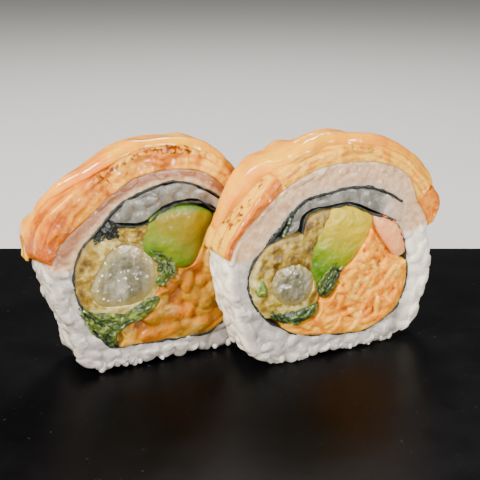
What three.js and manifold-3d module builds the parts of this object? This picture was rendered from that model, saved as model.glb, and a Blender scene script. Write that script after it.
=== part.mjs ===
// Two slices of uramaki, the inside-out sushi roll with its rice on the outside, standing on a small black board.
// Each slice shows its cut face to the front: a spiral of rice and nori round fried shrimp in batter, avocado,
// lettuce and a shredded seafood mix, under seared salmon slices with a thick orange sauce.
// Millimetres, +Z up. The origin is the middle of the board's underside; the cut faces look to -Y and a little to +X.
import * as THREE from "three";
import { mergeVertices } from "three/addons/utils/BufferGeometryUtils.js";
import Module from "manifold-3d";

const wasm = await Module();
wasm.setup();

// Driving sizes.
const BOARD = { width: 180, depth: 120, height: 6, corner: 4, chamfer: 0.8 };
const GAP = 0.3; // clear space between neighbouring pieces
const NORI_THICK = 0.4;
const GRAIN = { half: 3, thick: 1.4, proud: 0.85 }; // a cooked rice grain, and how far it stands out
const STRAND = { half: 3.4, thick: 0.9, sink: -0.1, count: 16 }; // a strand of the mix and how many show
const END_ROOM = 4; // degrees of bare smooth rice next to the ends of the salmon
const SOFT_END = 14; // degrees over which the sauce and the sunken part of the topping begin and end
const FULL = { to: 5, kept: 0.2 }; // depth up to which the topping stays full, and its sauce's share left at the back
const PAST = 6; // how far a cutter reaches past both cut faces
const EDGE = 0.6; // depth of the rounding where a filling's side meets the cut

// Colours and finishes.
const FINISH = {
  board: [0x16171a, 0.42],
  rice: [0xe9e4da, 0.5],
  nori: [0x141a14, 0.6],
  shrimp: [0xb9b0a2, 0.3],
  batter: [0xc9a455, 0.6],
  avocado: [0xa9b545, 0.5],
  lettuce: [0x3f6a2a, 0.5],
  seafood_mix: [0xe99b4a, 0.45],
  pink_fish: [0xdda588, 0.35],
  salmon: [0xf09a44, 0.35],
  sauce: [0xf0a868, 0.2],
};

// The cut faces. Outlines are in the plane of the face: across to the right, then up from the board, in mm.
// The nori runs from its inner end once round the filling, where it closes, and on over the top to its outer end.
const RIGHT = {
  name: "right",
  place: [18, -3],
  turn: 27,
  thick: 11,
  lean: 0.8,
  rice: [
    [-14.4, 0], [-18, 2.4], [-20.2, 8.8], [-22.6, 17.5], [-21.8, 24.8], [-16.4, 31], [-10, 35.8], [-3.7, 38.2],
    [4, 38.6], [11.8, 37.2], [17.2, 33.8], [19.4, 28.8], [22.4, 23.5], [24, 14.5], [22.6, 7.6], [20.4, 2], [16, 0],
  ],
  nori: [
    [-7.2, 25.8], [-5.9, 29.4], [-0.5, 30], [3.6, 29.8], [8.9, 27.2], [14.3, 24.4], [16.6, 18.5], [17.1, 12.5],
    [14.7, 6.6], [8, 3.4], [0, 4], [-8, 5.6], [-15.2, 10.4], [-18.5, 16], [-17.8, 21], [-14, 25],
    [-10.6, 28.6], [-7.4, 31.8], [-1, 33], [5.2, 33.2], [10.2, 32], [15.2, 28.8],
  ],
  closes: 15,
  fillings: [
    { name: "shrimp", finish: "shrimp", proud: 1.1, outline: [
      [-13.6, 16], [-12.6, 18.9], [-9.5, 19.9], [-6, 18.6], [-4.6, 15.6], [-5.6, 12.8], [-8.2, 11.8], [-11.8, 13]] },
    { name: "lettuce_in_batter", finish: "lettuce", proud: 0.5, outline: [
      [-16.6, 17.2], [-15.6, 17.8], [-14.8, 16.6], [-15, 14.8], [-16.2, 14.7], [-16.9, 15.8]] },
    { name: "batter", finish: "batter", proud: 0.7, bumps: 0.25, outline: [
      [-18.4, 17], [-17.2, 20.8], [-14, 24], [-10.6, 25.2], [-7.6, 25.8], [-6.6, 28], [-3.6, 29.4], [-0.3, 29],
      [-2.2, 27], [-4.3, 23.6], [-4.7, 18.6], [-3.5, 14], [-4.2, 11.2], [-7.4, 10.2], [-12, 10], [-15.6, 10.8],
      [-17.8, 14]] },
    { name: "lettuce_low", finish: "lettuce", proud: 0.9, pleats: 1.1, outline: [
      [-14.2, 10.6], [-10.8, 8.4], [-6.8, 7.9], [-3.6, 9.2], [-3.4, 11], [-7, 10.6], [-12, 10.8]] },
    { name: "lettuce_middle", finish: "lettuce", proud: 0.9, pleats: 1.1, outline: [
      [0.2, 19.4], [1.5, 17.8], [1, 15], [-1.6, 12], [-3.4, 13.6], [-3.4, 16.2], [-1.6, 18.4]] },
    { name: "avocado", finish: "avocado", proud: 0.35, outline: [
      [-0.2, 29.6], [3.6, 29.4], [8, 27], [7.6, 24], [5.2, 20.4], [2.4, 17.8], [-1, 16.6], [-3.8, 14.4],
      [-4.9, 18], [-4.4, 23.4], [-2.4, 27.2]] },
    { name: "pink_fish", finish: "pink_fish", proud: 0.6, outline: [
      [8.6, 27], [12, 26.4], [15.6, 23.4], [16.8, 18.6], [14.8, 17.6], [12, 20.4], [9.6, 24]] },
  ],
  topping: {
    outer: [
      [-21.8, 24], [-20.8, 27.4], [-17.8, 31.8], [-13.8, 36.2], [-9.6, 39.2], [-3.4, 41.2], [2, 41.6], [6.4, 41],
      [10.8, 40], [15, 38.2], [19.2, 35.4], [22.8, 31.6], [25, 27.6], [24, 24.4],
    ],
    slices: [
      { name: "salmon_left", from: 166, to: 124 },
      { name: "salmon_top", from: 124, to: 33 },
      { name: "salmon_end", from: 33, to: 17 },
    ],
    sauce: { from: 156, to: 30, thick: 2.1 },
    sunk: { from: 114, to: 20, depth: 1.4 },
  },
};

const LEFT = {
  name: "left",
  place: [-14.1, -5.8],
  turn: 27,
  thick: 12.4,
  lean: 0,
  rice: [
    [-14, 0], [-17.4, 2.2], [-18.4, 7.4], [-21.2, 14.5], [-22.4, 22], [-20, 26.8], [-15.6, 30.4], [-11.4, 34],
    [-6.4, 37], [0, 38.2], [6.4, 37.6], [11, 35.2], [15.6, 29.4], [20, 22.4], [22, 13.6], [21, 6.4], [17.6, 1.2],
    [12, 0],
  ],
  nori: [
    [-10, 26.2], [-10.4, 28.8], [-7.4, 28.2], [-3.8, 28], [-0.6, 30], [3.6, 31.2], [7, 30.8], [11.4, 27.6],
    [14.6, 22], [15.8, 15], [14.2, 7.6], [9.6, 4.2], [2, 4], [-6, 4.3], [-10.8, 4.6], [-15, 9.4], [-17.2, 15.2],
    [-17.8, 20.2], [-16.2, 24.8], [-12.4, 28.8], [-8.4, 32.4], [-1.4, 35], [4, 35.2], [9.2, 32.8], [12, 30.6],
  ],
  closes: 18,
  fillings: [
    { name: "shrimp", finish: "shrimp", proud: 1.2, outline: [
      [-14.8, 16.8], [-13.2, 20.4], [-10.8, 23.8], [-7.6, 24.6], [-3.6, 22.4], [-2, 18.8], [-2.6, 15.2], [-5.4, 13],
      [-9.6, 12.8], [-13.4, 13.8]] },
    { name: "batter", finish: "batter", proud: 0.7, bumps: 0.25, outline: [
      [-17.6, 18.6], [-16.6, 22.8], [-14.2, 26.2], [-11, 26.6], [-7, 26.2], [-3.2, 23.8], [-1, 20.6], [-1, 16.4],
      [-3, 13.2], [-6.6, 11], [-11, 11.8], [-15.2, 12.9], [-17.2, 15.6]] },
    { name: "nori_fold", finish: "nori", proud: 0.4, bumps: 0.2, outline: [
      [-14, 26.4], [-11, 26.2], [-9, 26.4], [-9.2, 28.4], [-10.6, 29.6], [-12, 28.8]] },
    { name: "lettuce_low", finish: "lettuce", proud: 0.9, pleats: 1.1, outline: [
      [-17.4, 14.4], [-16.4, 11.2], [-13.6, 7.2], [-11, 4.9], [-10, 7.4], [-7.4, 9], [-4.6, 9.8], [-1.6, 12.6],
      [-3.6, 13.2], [-6.6, 10.6], [-11, 11.4], [-15.4, 12.6]] },
    { name: "lettuce_middle", finish: "lettuce", proud: 0.9, pleats: 1.1, outline: [
      [-3, 22.8], [-0.8, 22.6], [2, 19.8], [2, 17.6], [0.2, 15.8], [-1.6, 15.6], [-1.6, 20]] },
    { name: "batter_flake", finish: "batter", proud: 0.3, bumps: 0.2, outline: [
      [-9.4, 27.8], [-6, 27.8], [-2.4, 28.8], [-3.2, 26.6], [-4.8, 25], [-7.4, 25], [-9.2, 26]] },
    { name: "avocado", finish: "avocado", proud: 0.35, outline: [
      [-1.2, 29.8], [2, 30.4], [6.4, 30], [9.8, 27.8], [8.4, 24.8], [7, 21.4], [5.2, 18.8], [2.4, 18.8], [-1.4, 20.4],
      [-4.4, 22.6], [-4.3, 25.4], [-3, 28]] },
  ],
  topping: {
    outer: [
      [-23.8, 23], [-23.4, 28], [-21.2, 32.2], [-17.6, 35.4], [-13.6, 37.8], [-9.8, 40.1], [-6, 41.7],
      [-2.4, 42.2], [2.4, 42], [7.6, 40.8], [11.6, 38.6], [15.4, 34], [19.8, 27.6], [20.8, 25],
    ],
    slices: [
      { name: "salmon_left", from: 165, to: 118 },
      { name: "salmon_top", from: 118, to: 24 },
    ],
    sauce: { from: 160, to: 40, thick: 1.5 },
    sunk: { from: 160, to: 20, depth: 1.8 },
  },
};

// A smooth line through control points, as evenly spaced 2D points. A closed one leaves out its repeated end.
function smoothLine(points, count, closed) {
  const through = points.map(([across, up]) => new THREE.Vector3(across, up, 0));
  const curve = new THREE.CatmullRomCurve3(through, closed, "centripetal");
  const spaced = curve.getSpacedPoints(count).map((p) => new THREE.Vector2(p.x, p.y));
  return closed ? spaced.slice(0, -1) : spaced;
}

// Unit normals of a 2D line, to the left of its direction.
function normals(line, closed) {
  const last = line.length - 1;
  return line.map((_, i) => {
    const before = line[closed ? (i + last) % line.length : Math.max(i - 1, 0)];
    const after = line[closed ? (i + 1) % line.length : Math.min(i + 1, last)];
    const along = after.clone().sub(before).normalize();
    return new THREE.Vector2(-along.y, along.x);
  });
}

// A closed outline moved outwards by a distance, whichever way round it runs.
function grown(outline, distance) {
  const way = THREE.ShapeUtils.isClockWise(outline) ? 1 : -1;
  const out = normals(outline, true);
  return outline.map((p, i) => p.clone().addScaledVector(out[i], way * distance));
}

// The outline of a band of even half width along an open line, with its ends carried on by a little.
function bandOutline(line, half, carry = 0) {
  const side = normals(line, false);
  const longer = line.map((p) => p.clone());
  const last = line.length - 1;
  longer[0].addScaledVector(line[0].clone().sub(line[1]).normalize(), carry);
  longer[last].addScaledVector(line[last].clone().sub(line[last - 1]).normalize(), carry);
  const left = longer.map((p, i) => p.clone().addScaledVector(side[i], half));
  const right = longer.map((p, i) => p.clone().addScaledVector(side[i], -half));
  return [...left, ...right.reverse()];
}

// A geometry's closed solid, with its faces turned outwards.
function toSolid(geometry) {
  const bare = geometry.index ? geometry.toNonIndexed() : geometry.clone();
  for (const name of Object.keys(bare.attributes)) {
    if (name !== "position") bare.deleteAttribute(name);
  }
  const merged = mergeVertices(bare, 1e-4);
  const corner = [0, 1, 2].map(() => new THREE.Vector3());
  const faces = [...merged.index.array];
  let volume = 0;
  for (let i = 0; i < faces.length; i += 3) {
    corner.forEach((c, k) => c.fromBufferAttribute(merged.attributes.position, faces[i + k]));
    volume += corner[0].dot(corner[1].clone().cross(corner[2]));
  }
  if (volume < 0) faces.reverse();
  return new wasm.Manifold(
    new wasm.Mesh({
      numProp: 3,
      vertProperties: merged.attributes.position.array,
      triVerts: new Uint32Array(faces),
    }),
  );
}

// A straight prism of a 2D outline, from one depth behind the cut face to another. X is across, Y is depth, Z is up.
function prism(outline, front, back) {
  const cut = new THREE.ExtrudeGeometry(new THREE.Shape(outline), {
    depth: back - front,
    bevelEnabled: false,
    steps: 1,
  });
  return toSolid(cut.rotateX(Math.PI / 2).translate(0, back, 0));
}

// A solid with a closed outline carried through rings. Each ring has its depth, its share of the outline's size,
// and how far it stands out; a pole closes each end at the middle of the outline.
function loft(outline, rings, standOut = () => 0) {
  const middle = outline.reduce((sum, p) => sum.add(p), new THREE.Vector2()).divideScalar(outline.length);
  const way = THREE.ShapeUtils.isClockWise(outline) ? 1 : -1;
  const out = normals(outline, true);
  const count = outline.length;
  const points = [[middle.x, rings[0].pole, middle.y]];
  for (const ring of rings) {
    outline.forEach((p, i) => {
      const far = (ring.grow + standOut(p, ring.depth)) * way;
      const across = middle.x + (p.x - middle.x) * ring.share + out[i].x * far;
      const up = middle.y + (p.y - middle.y) * ring.share + out[i].y * far;
      points.push([across, ring.depth, up]);
    });
  }
  points.push([middle.x, rings[rings.length - 1].pole, middle.y]);
  const faces = [];
  for (let i = 0; i < count; i++) {
    const next = (i + 1) % count;
    faces.push(0, 1 + next, 1 + i);
    for (let ring = 0; ring < rings.length - 1; ring++) {
      const here = 1 + ring * count;
      faces.push(here + i, here + next, here + count + i);
      faces.push(here + next, here + count + next, here + count + i);
    }
    const last = 1 + (rings.length - 1) * count;
    faces.push(last + i, last + next, points.length - 1);
  }
  const geometry = new THREE.BufferGeometry();
  geometry.setAttribute("position", new THREE.Float32BufferAttribute(points.flat(), 3));
  geometry.setIndex(faces);
  return toSolid(geometry);
}

// The rings of a slice's piece: domed ends that stand proud of the cut by so much, and rounded edges between.
// The back is pressed flatter, since the slices stand against each other.
function slicedRings(thick, proud) {
  const pressed = Math.min(proud, 0.3);
  return [
    { depth: -proud, pole: -proud * 1.15, share: 0.5, grow: 0 },
    { depth: -proud * 0.5, share: 0.85, grow: 0 },
    { depth: EDGE, share: 1, grow: 0 },
    { depth: thick - EDGE, share: 1, grow: 0 },
    { depth: thick + pressed, pole: thick + pressed * 1.15, share: 0.6, grow: 0 },
  ];
}

// Soft unevenness of a side, always inwards: waves of a few mm, and on the cut face tighter pleats as in a folded
// leaf, of the given heights.
function unevenness(bumps, pleats) {
  return (p, depth) => {
    const wave = 1 + 0.5 * Math.sin(p.x * 1.9 + depth * 0.9) + 0.5 * Math.sin(p.y * 2.3 - depth * 1.3);
    const pleat = depth < EDGE ? 0.5 + 0.5 * Math.sin((p.x + p.y) * 3.1) : 0;
    return -bumps * wave - pleats * pleat;
  };
}

// A small repeatable random number source.
function seeded(seed) {
  let state = seed;
  return () => {
    state = (state * 1664525 + 1013904223) % 4294967296;
    return state / 4294967296;
  };
}

// A grain or strand: a faceted spindle, laid along a direction on a surface with the given normal.
function grain(centre, along, normal, { half, thick }) {
  const shape = new THREE.SphereGeometry(1, 5, 3).rotateX(Math.PI / 2).scale(thick, thick, half);
  const side = new THREE.Vector3().crossVectors(normal, along).normalize();
  const flat = new THREE.Vector3().crossVectors(side, normal).normalize();
  const turn = new THREE.Matrix4().makeBasis(side, normal.clone().normalize(), flat);
  return toSolid(shape.applyMatrix4(turn.setPosition(centre)));
}

// A rice grain a little larger or smaller than the usual one.
function sized(random, least, most) {
  const size = THREE.MathUtils.lerp(least, most, random());
  return { half: GRAIN.half * size, thick: GRAIN.thick * size };
}

// The angle of a point round the slice's middle, in degrees from the right.
function angleRound(p, middle) {
  return (THREE.MathUtils.radToDeg(Math.atan2(p.y - middle.y, p.x - middle.x)) + 360) % 360;
}

// Whether the salmon covers the rice at this angle, with room left for a grain at both ends.
function underTopping(slice, angle) {
  const { slices } = slice.topping;
  return angle < slices[0].from + END_ROOM && angle > slices[slices.length - 1].to - END_ROOM;
}

// Grains over the bare side of the rice, in rows round the slice, each row shifted against the last.
function sideGrains(slice, outline, middle, random) {
  const rows = Math.round(slice.thick / (GRAIN.thick * 2.2));
  const out = normals(outline, true);
  const way = THREE.ShapeUtils.isClockWise(outline) ? 1 : -1;
  const grains = [];
  for (let row = 0; row < rows; row++) {
    const depth = ((row + 0.5) / rows) * slice.thick;
    for (let i = (row % 2) * 2; i < outline.length; i += 4) {
      const p = outline[i];
      if (underTopping(slice, angleRound(p, middle))) continue;
      const normal = new THREE.Vector3(out[i].x * way, 0, out[i].y * way);
      const along = new THREE.Vector3(-normal.z, (random() - 0.5) * 1.6, normal.x);
      const size = sized(random, 0.88, 1.12);
      const sink = size.thick - GRAIN.proud * (0.6 + random() * 0.7);
      const centre = new THREE.Vector3(p.x - normal.x * sink, depth, p.y - normal.z * sink);
      grains.push(grain(centre, along, normal, size));
    }
  }
  return grains;
}

// Cut grains that stand a little out of both cut faces: two rows in front and one row on the hidden back.
function faceGrains(slice, outline, random) {
  const grains = [];
  const out = normals(outline, true);
  const way = THREE.ShapeUtils.isClockWise(outline) ? 1 : -1;
  const rows = [
    { end: 0, sign: -1, inward: 1.7, shift: 0, step: 4 },
    { end: 0, sign: -1, inward: 4.1, shift: 2, step: 4 },
    { end: slice.thick, sign: 1, inward: 2.6, shift: 1, step: 8 },
  ];
  for (const { end, sign, inward, shift, step } of rows) {
    for (let i = shift; i < outline.length; i += step) {
      const far = -way * (inward + (random() - 0.5) * 0.5);
      const size = sized(random, 0.8, 1.05);
      const normal = new THREE.Vector3(0, sign, 0);
      const along = new THREE.Vector3(-out[i].y, 0, out[i].x);
      along.applyAxisAngle(normal, (random() - 0.5) * 0.7);
      const depth = end - sign * (size.thick - 0.35 - random() * 0.2);
      const centre = new THREE.Vector3(outline[i].x + out[i].x * far, depth, outline[i].y + out[i].y * far);
      grains.push(grain(centre, along, normal, size));
    }
  }
  return grains;
}

// The largest closed body of a solid, without scraps.
function largest(solid) {
  const parts = solid.decompose();
  return parts.reduce((best, part) => (part.volume() > best.volume() ? part : best));
}

// The rice: a spiral band with a flat foot, open where the filling and the nori run through it.
function riceSolid(slice, shapes, random) {
  const { rice, inside, corridor, middle } = shapes;
  const edge = [
    { depth: 0, pole: 0, share: 0.985, grow: -0.25 },
    { depth: 0.7, share: 1, grow: 0 },
    { depth: slice.thick - 0.7, share: 1, grow: 0 },
    { depth: slice.thick, pole: slice.thick, share: 0.985, grow: -0.25 },
  ];
  let body = loft(rice, edge);
  for (const one of [...sideGrains(slice, rice, middle, random), ...faceGrains(slice, rice, random)]) {
    body = body.add(one);
  }
  const covered = rice.filter((p) => underTopping(slice, angleRound(p, middle)));
  const farther = covered.map((p) => p.clone().sub(middle).multiplyScalar(1.5).add(middle));
  const over = [...covered, ...farther.reverse()];
  const foot = new THREE.BoxGeometry(90, 90, 20).translate(0, 0, -10);
  return largest(
    body
      .subtract(prism(grown(inside, GAP / 2), -PAST, slice.thick + PAST))
      .subtract(prism(corridor, -PAST, slice.thick + PAST))
      .subtract(prism(over, -PAST, slice.thick + PAST))
      .subtract(toSolid(foot)),
  );
}

// Short strands of the shredded mix lying on its cut face, pointing every way.
function strands(region, random) {
  const box = new THREE.Box2().setFromPoints(region);
  const found = [];
  for (let i = 0; i < STRAND.count; i++) {
    const across = THREE.MathUtils.lerp(box.min.x, box.max.x, random());
    const up = THREE.MathUtils.lerp(box.min.y, box.max.y, random());
    const along = new THREE.Vector3(1, 0, 0).applyAxisAngle(new THREE.Vector3(0, 1, 0), random() * Math.PI);
    found.push(grain(new THREE.Vector3(across, STRAND.sink, up), along, new THREE.Vector3(0, -1, 0), STRAND));
  }
  return found;
}

// The fillings in order: each keeps inside the nori and clear of those before it.
function fillingSolids(slice, shapes, random) {
  const { inside, corridor } = shapes;
  const room = prism(grown(inside, -GAP / 2), -PAST, slice.thick + PAST).subtract(
    prism(corridor, -PAST, slice.thick + PAST),
  );
  const made = [];
  let taken = null;
  for (const { name, finish, outline, proud, bumps = 0, pleats = 0 } of slice.fillings) {
    const smooth = smoothLine(outline, 16, true);
    const rings = slicedRings(slice.thick, proud);
    let body = loft(smooth, rings, unevenness(bumps, pleats)).intersect(room);
    if (taken) body = body.subtract(taken);
    made.push({ name, finish, solid: largest(body) });
    const keepOff = prism(grown(smooth, GAP), -PAST, slice.thick + PAST);
    taken = taken ? taken.add(keepOff) : keepOff;
  }
  let mix = loft(inside, slicedRings(slice.thick, 0.5));
  for (const strand of strands(inside, random)) mix = mix.add(strand);
  made.push({ name: "seafood_mix", finish: "seafood_mix", solid: largest(mix.intersect(room).subtract(taken)) });
  return made;
}

// The salmon slices, a shell over the rice parted by narrow gaps, and the sauce that lies thick along their top.
// Towards the back the topping sinks and the sauce thins out, over the part that is sunk.
function toppingSolids(slice, shapes) {
  const { rice, middle } = shapes;
  const { outer, slices, sauce, sunk } = slice.topping;
  const { thick } = slice;
  const outline = [...smoothLine(outer, 28, false), new THREE.Vector2(middle.x, middle.y - 4)];
  const within = ({ from, to }, p) => {
    const angle = angleRound(p, middle);
    return THREE.MathUtils.smoothstep(Math.min(from - angle, angle - to), 0, SOFT_END);
  };
  const low = (p, depth) => {
    const behind = THREE.MathUtils.clamp((depth - FULL.to) / (thick - FULL.to), 0, 1);
    return behind * within(sunk, p);
  };
  const body = (p, depth) => -sunk.depth * low(p, depth);
  const coat = (p, depth) => {
    const lip = THREE.MathUtils.smoothstep(Math.min(depth, thick - depth), -0.5, 2);
    const share = lip * (1 - (1 - FULL.kept) * low(p, depth));
    return body(p, depth) + sauce.thick * within(sauce, p) * share * (0.85 + 0.15 * Math.sin(p.x * 0.7));
  };
  const rings = (extra) => [
    { depth: 0.1, pole: 0.1, share: 1, grow: extra - 0.5 },
    { depth: 1.1, share: 1, grow: extra + 0.1 },
    { depth: thick * 0.4, share: 1, grow: extra + 0.4 },
    { depth: thick - 1.2, share: 1, grow: extra + 0.1 },
    { depth: thick - 0.1, pole: thick - 0.1, share: 1, grow: extra - 0.5 },
  ];
  const shell = loft(outline, rings(0), body).subtract(prism(grown(rice, GAP), -PAST, thick + PAST));
  const salmon = slices.map(({ name, from, to }) => {
    const wedge = prism(wedgeOutline(middle, from, to), -PAST, thick + PAST);
    return { name, finish: "salmon", solid: largest(shell.intersect(wedge)) };
  });
  const drizzle = loft(outline, rings(0), coat).subtract(loft(outline, rings(GAP), body));
  const above = prism(wedgeOutline(middle, sauce.from, sauce.to), -PAST, thick + PAST);
  return [...salmon, { name: "sauce", finish: "sauce", solid: largest(drizzle.intersect(above)) }];
}

// A wedge of the plane between two angles round the middle, kept half a gap clear of both.
function wedgeOutline(middle, from, to) {
  const way = (angle) => {
    const turn = THREE.MathUtils.degToRad(angle);
    return new THREE.Vector2(Math.cos(turn), Math.sin(turn));
  };
  const centreLine = way((from + to) / 2);
  const half = THREE.MathUtils.degToRad((from - to) / 2);
  const tip = middle.clone().addScaledVector(centreLine, GAP / 2 / Math.sin(half));
  const reach = 60;
  return [tip, ...[way(to), centreLine, way(from)].map((d) => tip.clone().addScaledVector(d, reach))];
}

// A mesh of a solid, leaned so that the back face sits a little to the side of the front face.
function toMesh(name, finish, solid, slice) {
  const { vertProperties, triVerts, numProp } = solid.getMesh();
  const place = new Float32Array((vertProperties.length / numProp) * 3);
  for (let i = 0; i < place.length / 3; i++) {
    const [across, depth, up] = vertProperties.subarray(i * numProp, i * numProp + 3);
    place.set([across + (slice.lean * depth) / slice.thick, depth, up], i * 3);
  }
  const geometry = new THREE.BufferGeometry();
  geometry.setAttribute("position", new THREE.BufferAttribute(place, 3));
  geometry.setIndex([...triVerts]);
  geometry.computeVertexNormals();
  const [color, roughness] = FINISH[finish];
  const mesh = new THREE.Mesh(geometry, new THREE.MeshStandardMaterial({ color, roughness, metalness: 0 }));
  mesh.name = name;
  return mesh;
}

// One slice of the roll, all its pieces, standing on the board.
function makeSlice(slice, seed) {
  const rice = smoothLine(slice.rice, 72, true);
  const nori = smoothLine(slice.nori, 50, false);
  const turn = smoothLine(slice.nori.slice(0, slice.closes + 1), 36, false);
  const middle = rice.reduce((sum, p) => sum.add(p), new THREE.Vector2()).divideScalar(rice.length);
  const shapes = {
    rice,
    inside: turn,
    corridor: bandOutline(nori, NORI_THICK / 2 + GAP, GAP),
    middle,
  };
  const random = seeded(seed);
  const pieces = [
    { name: "rice", finish: "rice", solid: riceSolid(slice, shapes, random) },
    { name: "nori", finish: "nori", solid: prism(bandOutline(nori, NORI_THICK / 2), 0.1, slice.thick - 0.1) },
    ...fillingSolids(slice, shapes, random),
    ...toppingSolids(slice, shapes),
  ];
  const group = new THREE.Group();
  for (const { name, finish, solid } of pieces) {
    group.add(toMesh(`${slice.name}_${name}`, finish, solid, slice));
  }
  group.position.set(slice.place[0], slice.place[1], BOARD.height + GAP);
  group.rotation.z = THREE.MathUtils.degToRad(slice.turn);
  return group;
}

// The board: a flat slab with rounded corners and a small chamfer all round.
function makeBoard() {
  const { width, depth, height, corner, chamfer } = BOARD;
  const x = width / 2 - chamfer;
  const y = depth / 2 - chamfer;
  const r = corner - chamfer;
  const shape = new THREE.Shape();
  shape.absarc(x - r, y - r, r, 0, Math.PI / 2);
  shape.absarc(-x + r, y - r, r, Math.PI / 2, Math.PI);
  shape.absarc(-x + r, -y + r, r, Math.PI, Math.PI * 1.5);
  shape.absarc(x - r, -y + r, r, Math.PI * 1.5, Math.PI * 2);
  const geometry = new THREE.ExtrudeGeometry(shape, {
    depth: height - 2 * chamfer,
    bevelThickness: chamfer,
    bevelSize: chamfer,
    bevelSegments: 1,
    curveSegments: 3,
  }).translate(0, 0, chamfer);
  const [color, roughness] = FINISH.board;
  const mesh = new THREE.Mesh(geometry, new THREE.MeshStandardMaterial({ color, roughness, metalness: 0 }));
  mesh.name = "board";
  return mesh;
}

const sushi = new THREE.Group();
sushi.add(makeBoard(), makeSlice(LEFT, 11), makeSlice(RIGHT, 29));

export default sushi;
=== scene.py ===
"""Two slices of uramaki on a black board: rice, nori, fillings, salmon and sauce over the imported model."""

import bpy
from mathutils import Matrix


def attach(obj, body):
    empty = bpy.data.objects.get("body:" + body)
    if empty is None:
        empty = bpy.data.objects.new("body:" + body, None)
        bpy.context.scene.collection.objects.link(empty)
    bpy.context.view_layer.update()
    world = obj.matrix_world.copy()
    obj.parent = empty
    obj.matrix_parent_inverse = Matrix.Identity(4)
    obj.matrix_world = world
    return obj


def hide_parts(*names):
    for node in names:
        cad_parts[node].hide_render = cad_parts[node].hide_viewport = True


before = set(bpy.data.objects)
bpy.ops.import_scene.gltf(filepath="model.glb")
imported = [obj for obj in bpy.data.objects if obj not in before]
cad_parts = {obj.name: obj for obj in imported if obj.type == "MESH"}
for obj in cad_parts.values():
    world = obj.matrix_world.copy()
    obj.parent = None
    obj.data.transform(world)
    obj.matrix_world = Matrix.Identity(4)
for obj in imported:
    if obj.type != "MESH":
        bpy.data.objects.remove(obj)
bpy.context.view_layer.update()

import math

import bpy
import numpy as np

# Driving sizes in mm and degrees, the same as the solids'.
MM = 0.001
TURN = 27  # how far the cut faces are turned to the right
FOOT = 6.3  # height of a slice's foot, a hair over the board
SINK = -0.28  # the rice's lowest grains reach down to the board
FULL_TO = 5.0  # depth up to which the topping stays full, before it sinks towards the back
TOPPING_REACH = 21  # mean distance of the topping from a slice's middle
NORI_HALF = 0.13  # half the nori's thickness
LEAF_HALF = 0.15  # half a lettuce leaf's thickness

# Half the length, width and height of a rice grain, in mm.
LOOSE_GRAIN = (2.9, 1.35, 0.8)
PRESSED_GRAIN = (2.8, 1.4, 0.8)
INNER_GRAIN = (2.5, 1.3, 0.7)

FINE = 1.0
TRIES = 9000  # places tried for the grains of one surface
BEAD_RINGS = 7  # rings of points on a separate grain
BEAD_SIDES = 10  # points on each of them

# The parts of a sleeve's section, in order round it.
FRONT, FRONT_RIM, WALL, BACK_RIM, BACK, INSIDE = range(6)
OUTSIDE = (FRONT_RIM, WALL, BACK_RIM)


class Slice:
    """One slice: its place on the board, thickness, lean of the back, and its face's outlines. The nori's
    first pass ends at point closes, and from point loop on it is the pass next to the outer rice. sunk is
    the range of angles in degrees over which the topping is lower at the back, sunk_by how much lower in
    mm. blush is the salmon's colour in the rice below it; dull greys the bare rice as painted shade."""

    def __init__(self, name, place, thick, lean, rice, nori, loop, closes, sunk, sunk_by, blush, dull):
        self.name, self.place, self.thick, self.lean = name, place, thick, lean
        self.sunk, self.sunk_by = sunk, sunk_by
        self.blush, self.dull = blush, dull
        self.rice = smooth_line(rice, 720, closed=True)
        self.outer_loop = smooth_line(nori[loop:], 400, closed=True)
        self.inside = smooth_line(nori[: closes + 1], 480)
        self.middle = self.rice.mean(axis=0)
        self.nori_points = nori

    def put(self, points):
        """Across, depth and up in mm to the row's frame in metres: leant, turned about the upright, moved."""
        across = points[..., 0] + self.lean * points[..., 1] / self.thick
        depth, up = points[..., 1], points[..., 2]
        cos, sin = math.cos(math.radians(TURN)), math.sin(math.radians(TURN))
        x = self.place[0] + across * cos - depth * sin
        y = self.place[1] + across * sin + depth * cos
        return np.stack([x, y, FOOT + up], axis=-1) * MM

    def falls(self, angles, depth):
        """How much of its full sinking the topping has at these angles and depths: 0 over its front part,
        rising to 1 at the back face, and eased to 0 over 14 degrees at both ends of the range."""
        start, end = self.sunk
        behind = np.clip((depth - FULL_TO) / (self.thick - FULL_TO), 0, 1)
        return ease(np.minimum(start - angles, angles - end), 0, 14) * behind


def smooth_line(points, count, closed=False):
    """Evenly spaced points on the centripetal curve through the given ones."""
    p = np.asarray(points, float)
    ends = (p[-1:], p[:2]) if closed else (2 * p[:1] - p[1:2], 2 * p[-1:] - p[-2:-1])
    p = np.vstack([ends[0], p, ends[1]])
    knot = np.concatenate([[0], np.cumsum(np.sqrt(np.linalg.norm(np.diff(p, axis=0), axis=1)))])
    k0, k1, k2, k3 = (knot[i : len(knot) - 3 + i, None, None] for i in range(4))
    p0, p1, p2, p3 = (p[i : len(p) - 3 + i, None] for i in range(4))
    t = k1 + (k2 - k1) * np.linspace(0, 1, 24, endpoint=False)[None, :, None]
    a1 = ((k1 - t) * p0 + (t - k0) * p1) / (k1 - k0)
    a2 = ((k2 - t) * p1 + (t - k1) * p2) / (k2 - k1)
    a3 = ((k3 - t) * p2 + (t - k2) * p3) / (k3 - k2)
    b1 = ((k2 - t) * a1 + (t - k0) * a2) / (k2 - k0)
    b2 = ((k3 - t) * a2 + (t - k1) * a3) / (k3 - k1)
    line = (((k2 - t) * b1 + (t - k1) * b2) / (k2 - k1)).reshape(-1, 2)
    line = np.vstack([line, p[-2]])
    length = np.concatenate([[0], np.cumsum(np.linalg.norm(np.diff(line, axis=0), axis=1))])
    at = np.linspace(0, length[-1], count, endpoint=not closed)
    return np.stack([np.interp(at, length, line[:, i]) for i in range(2)], axis=1)


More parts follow.
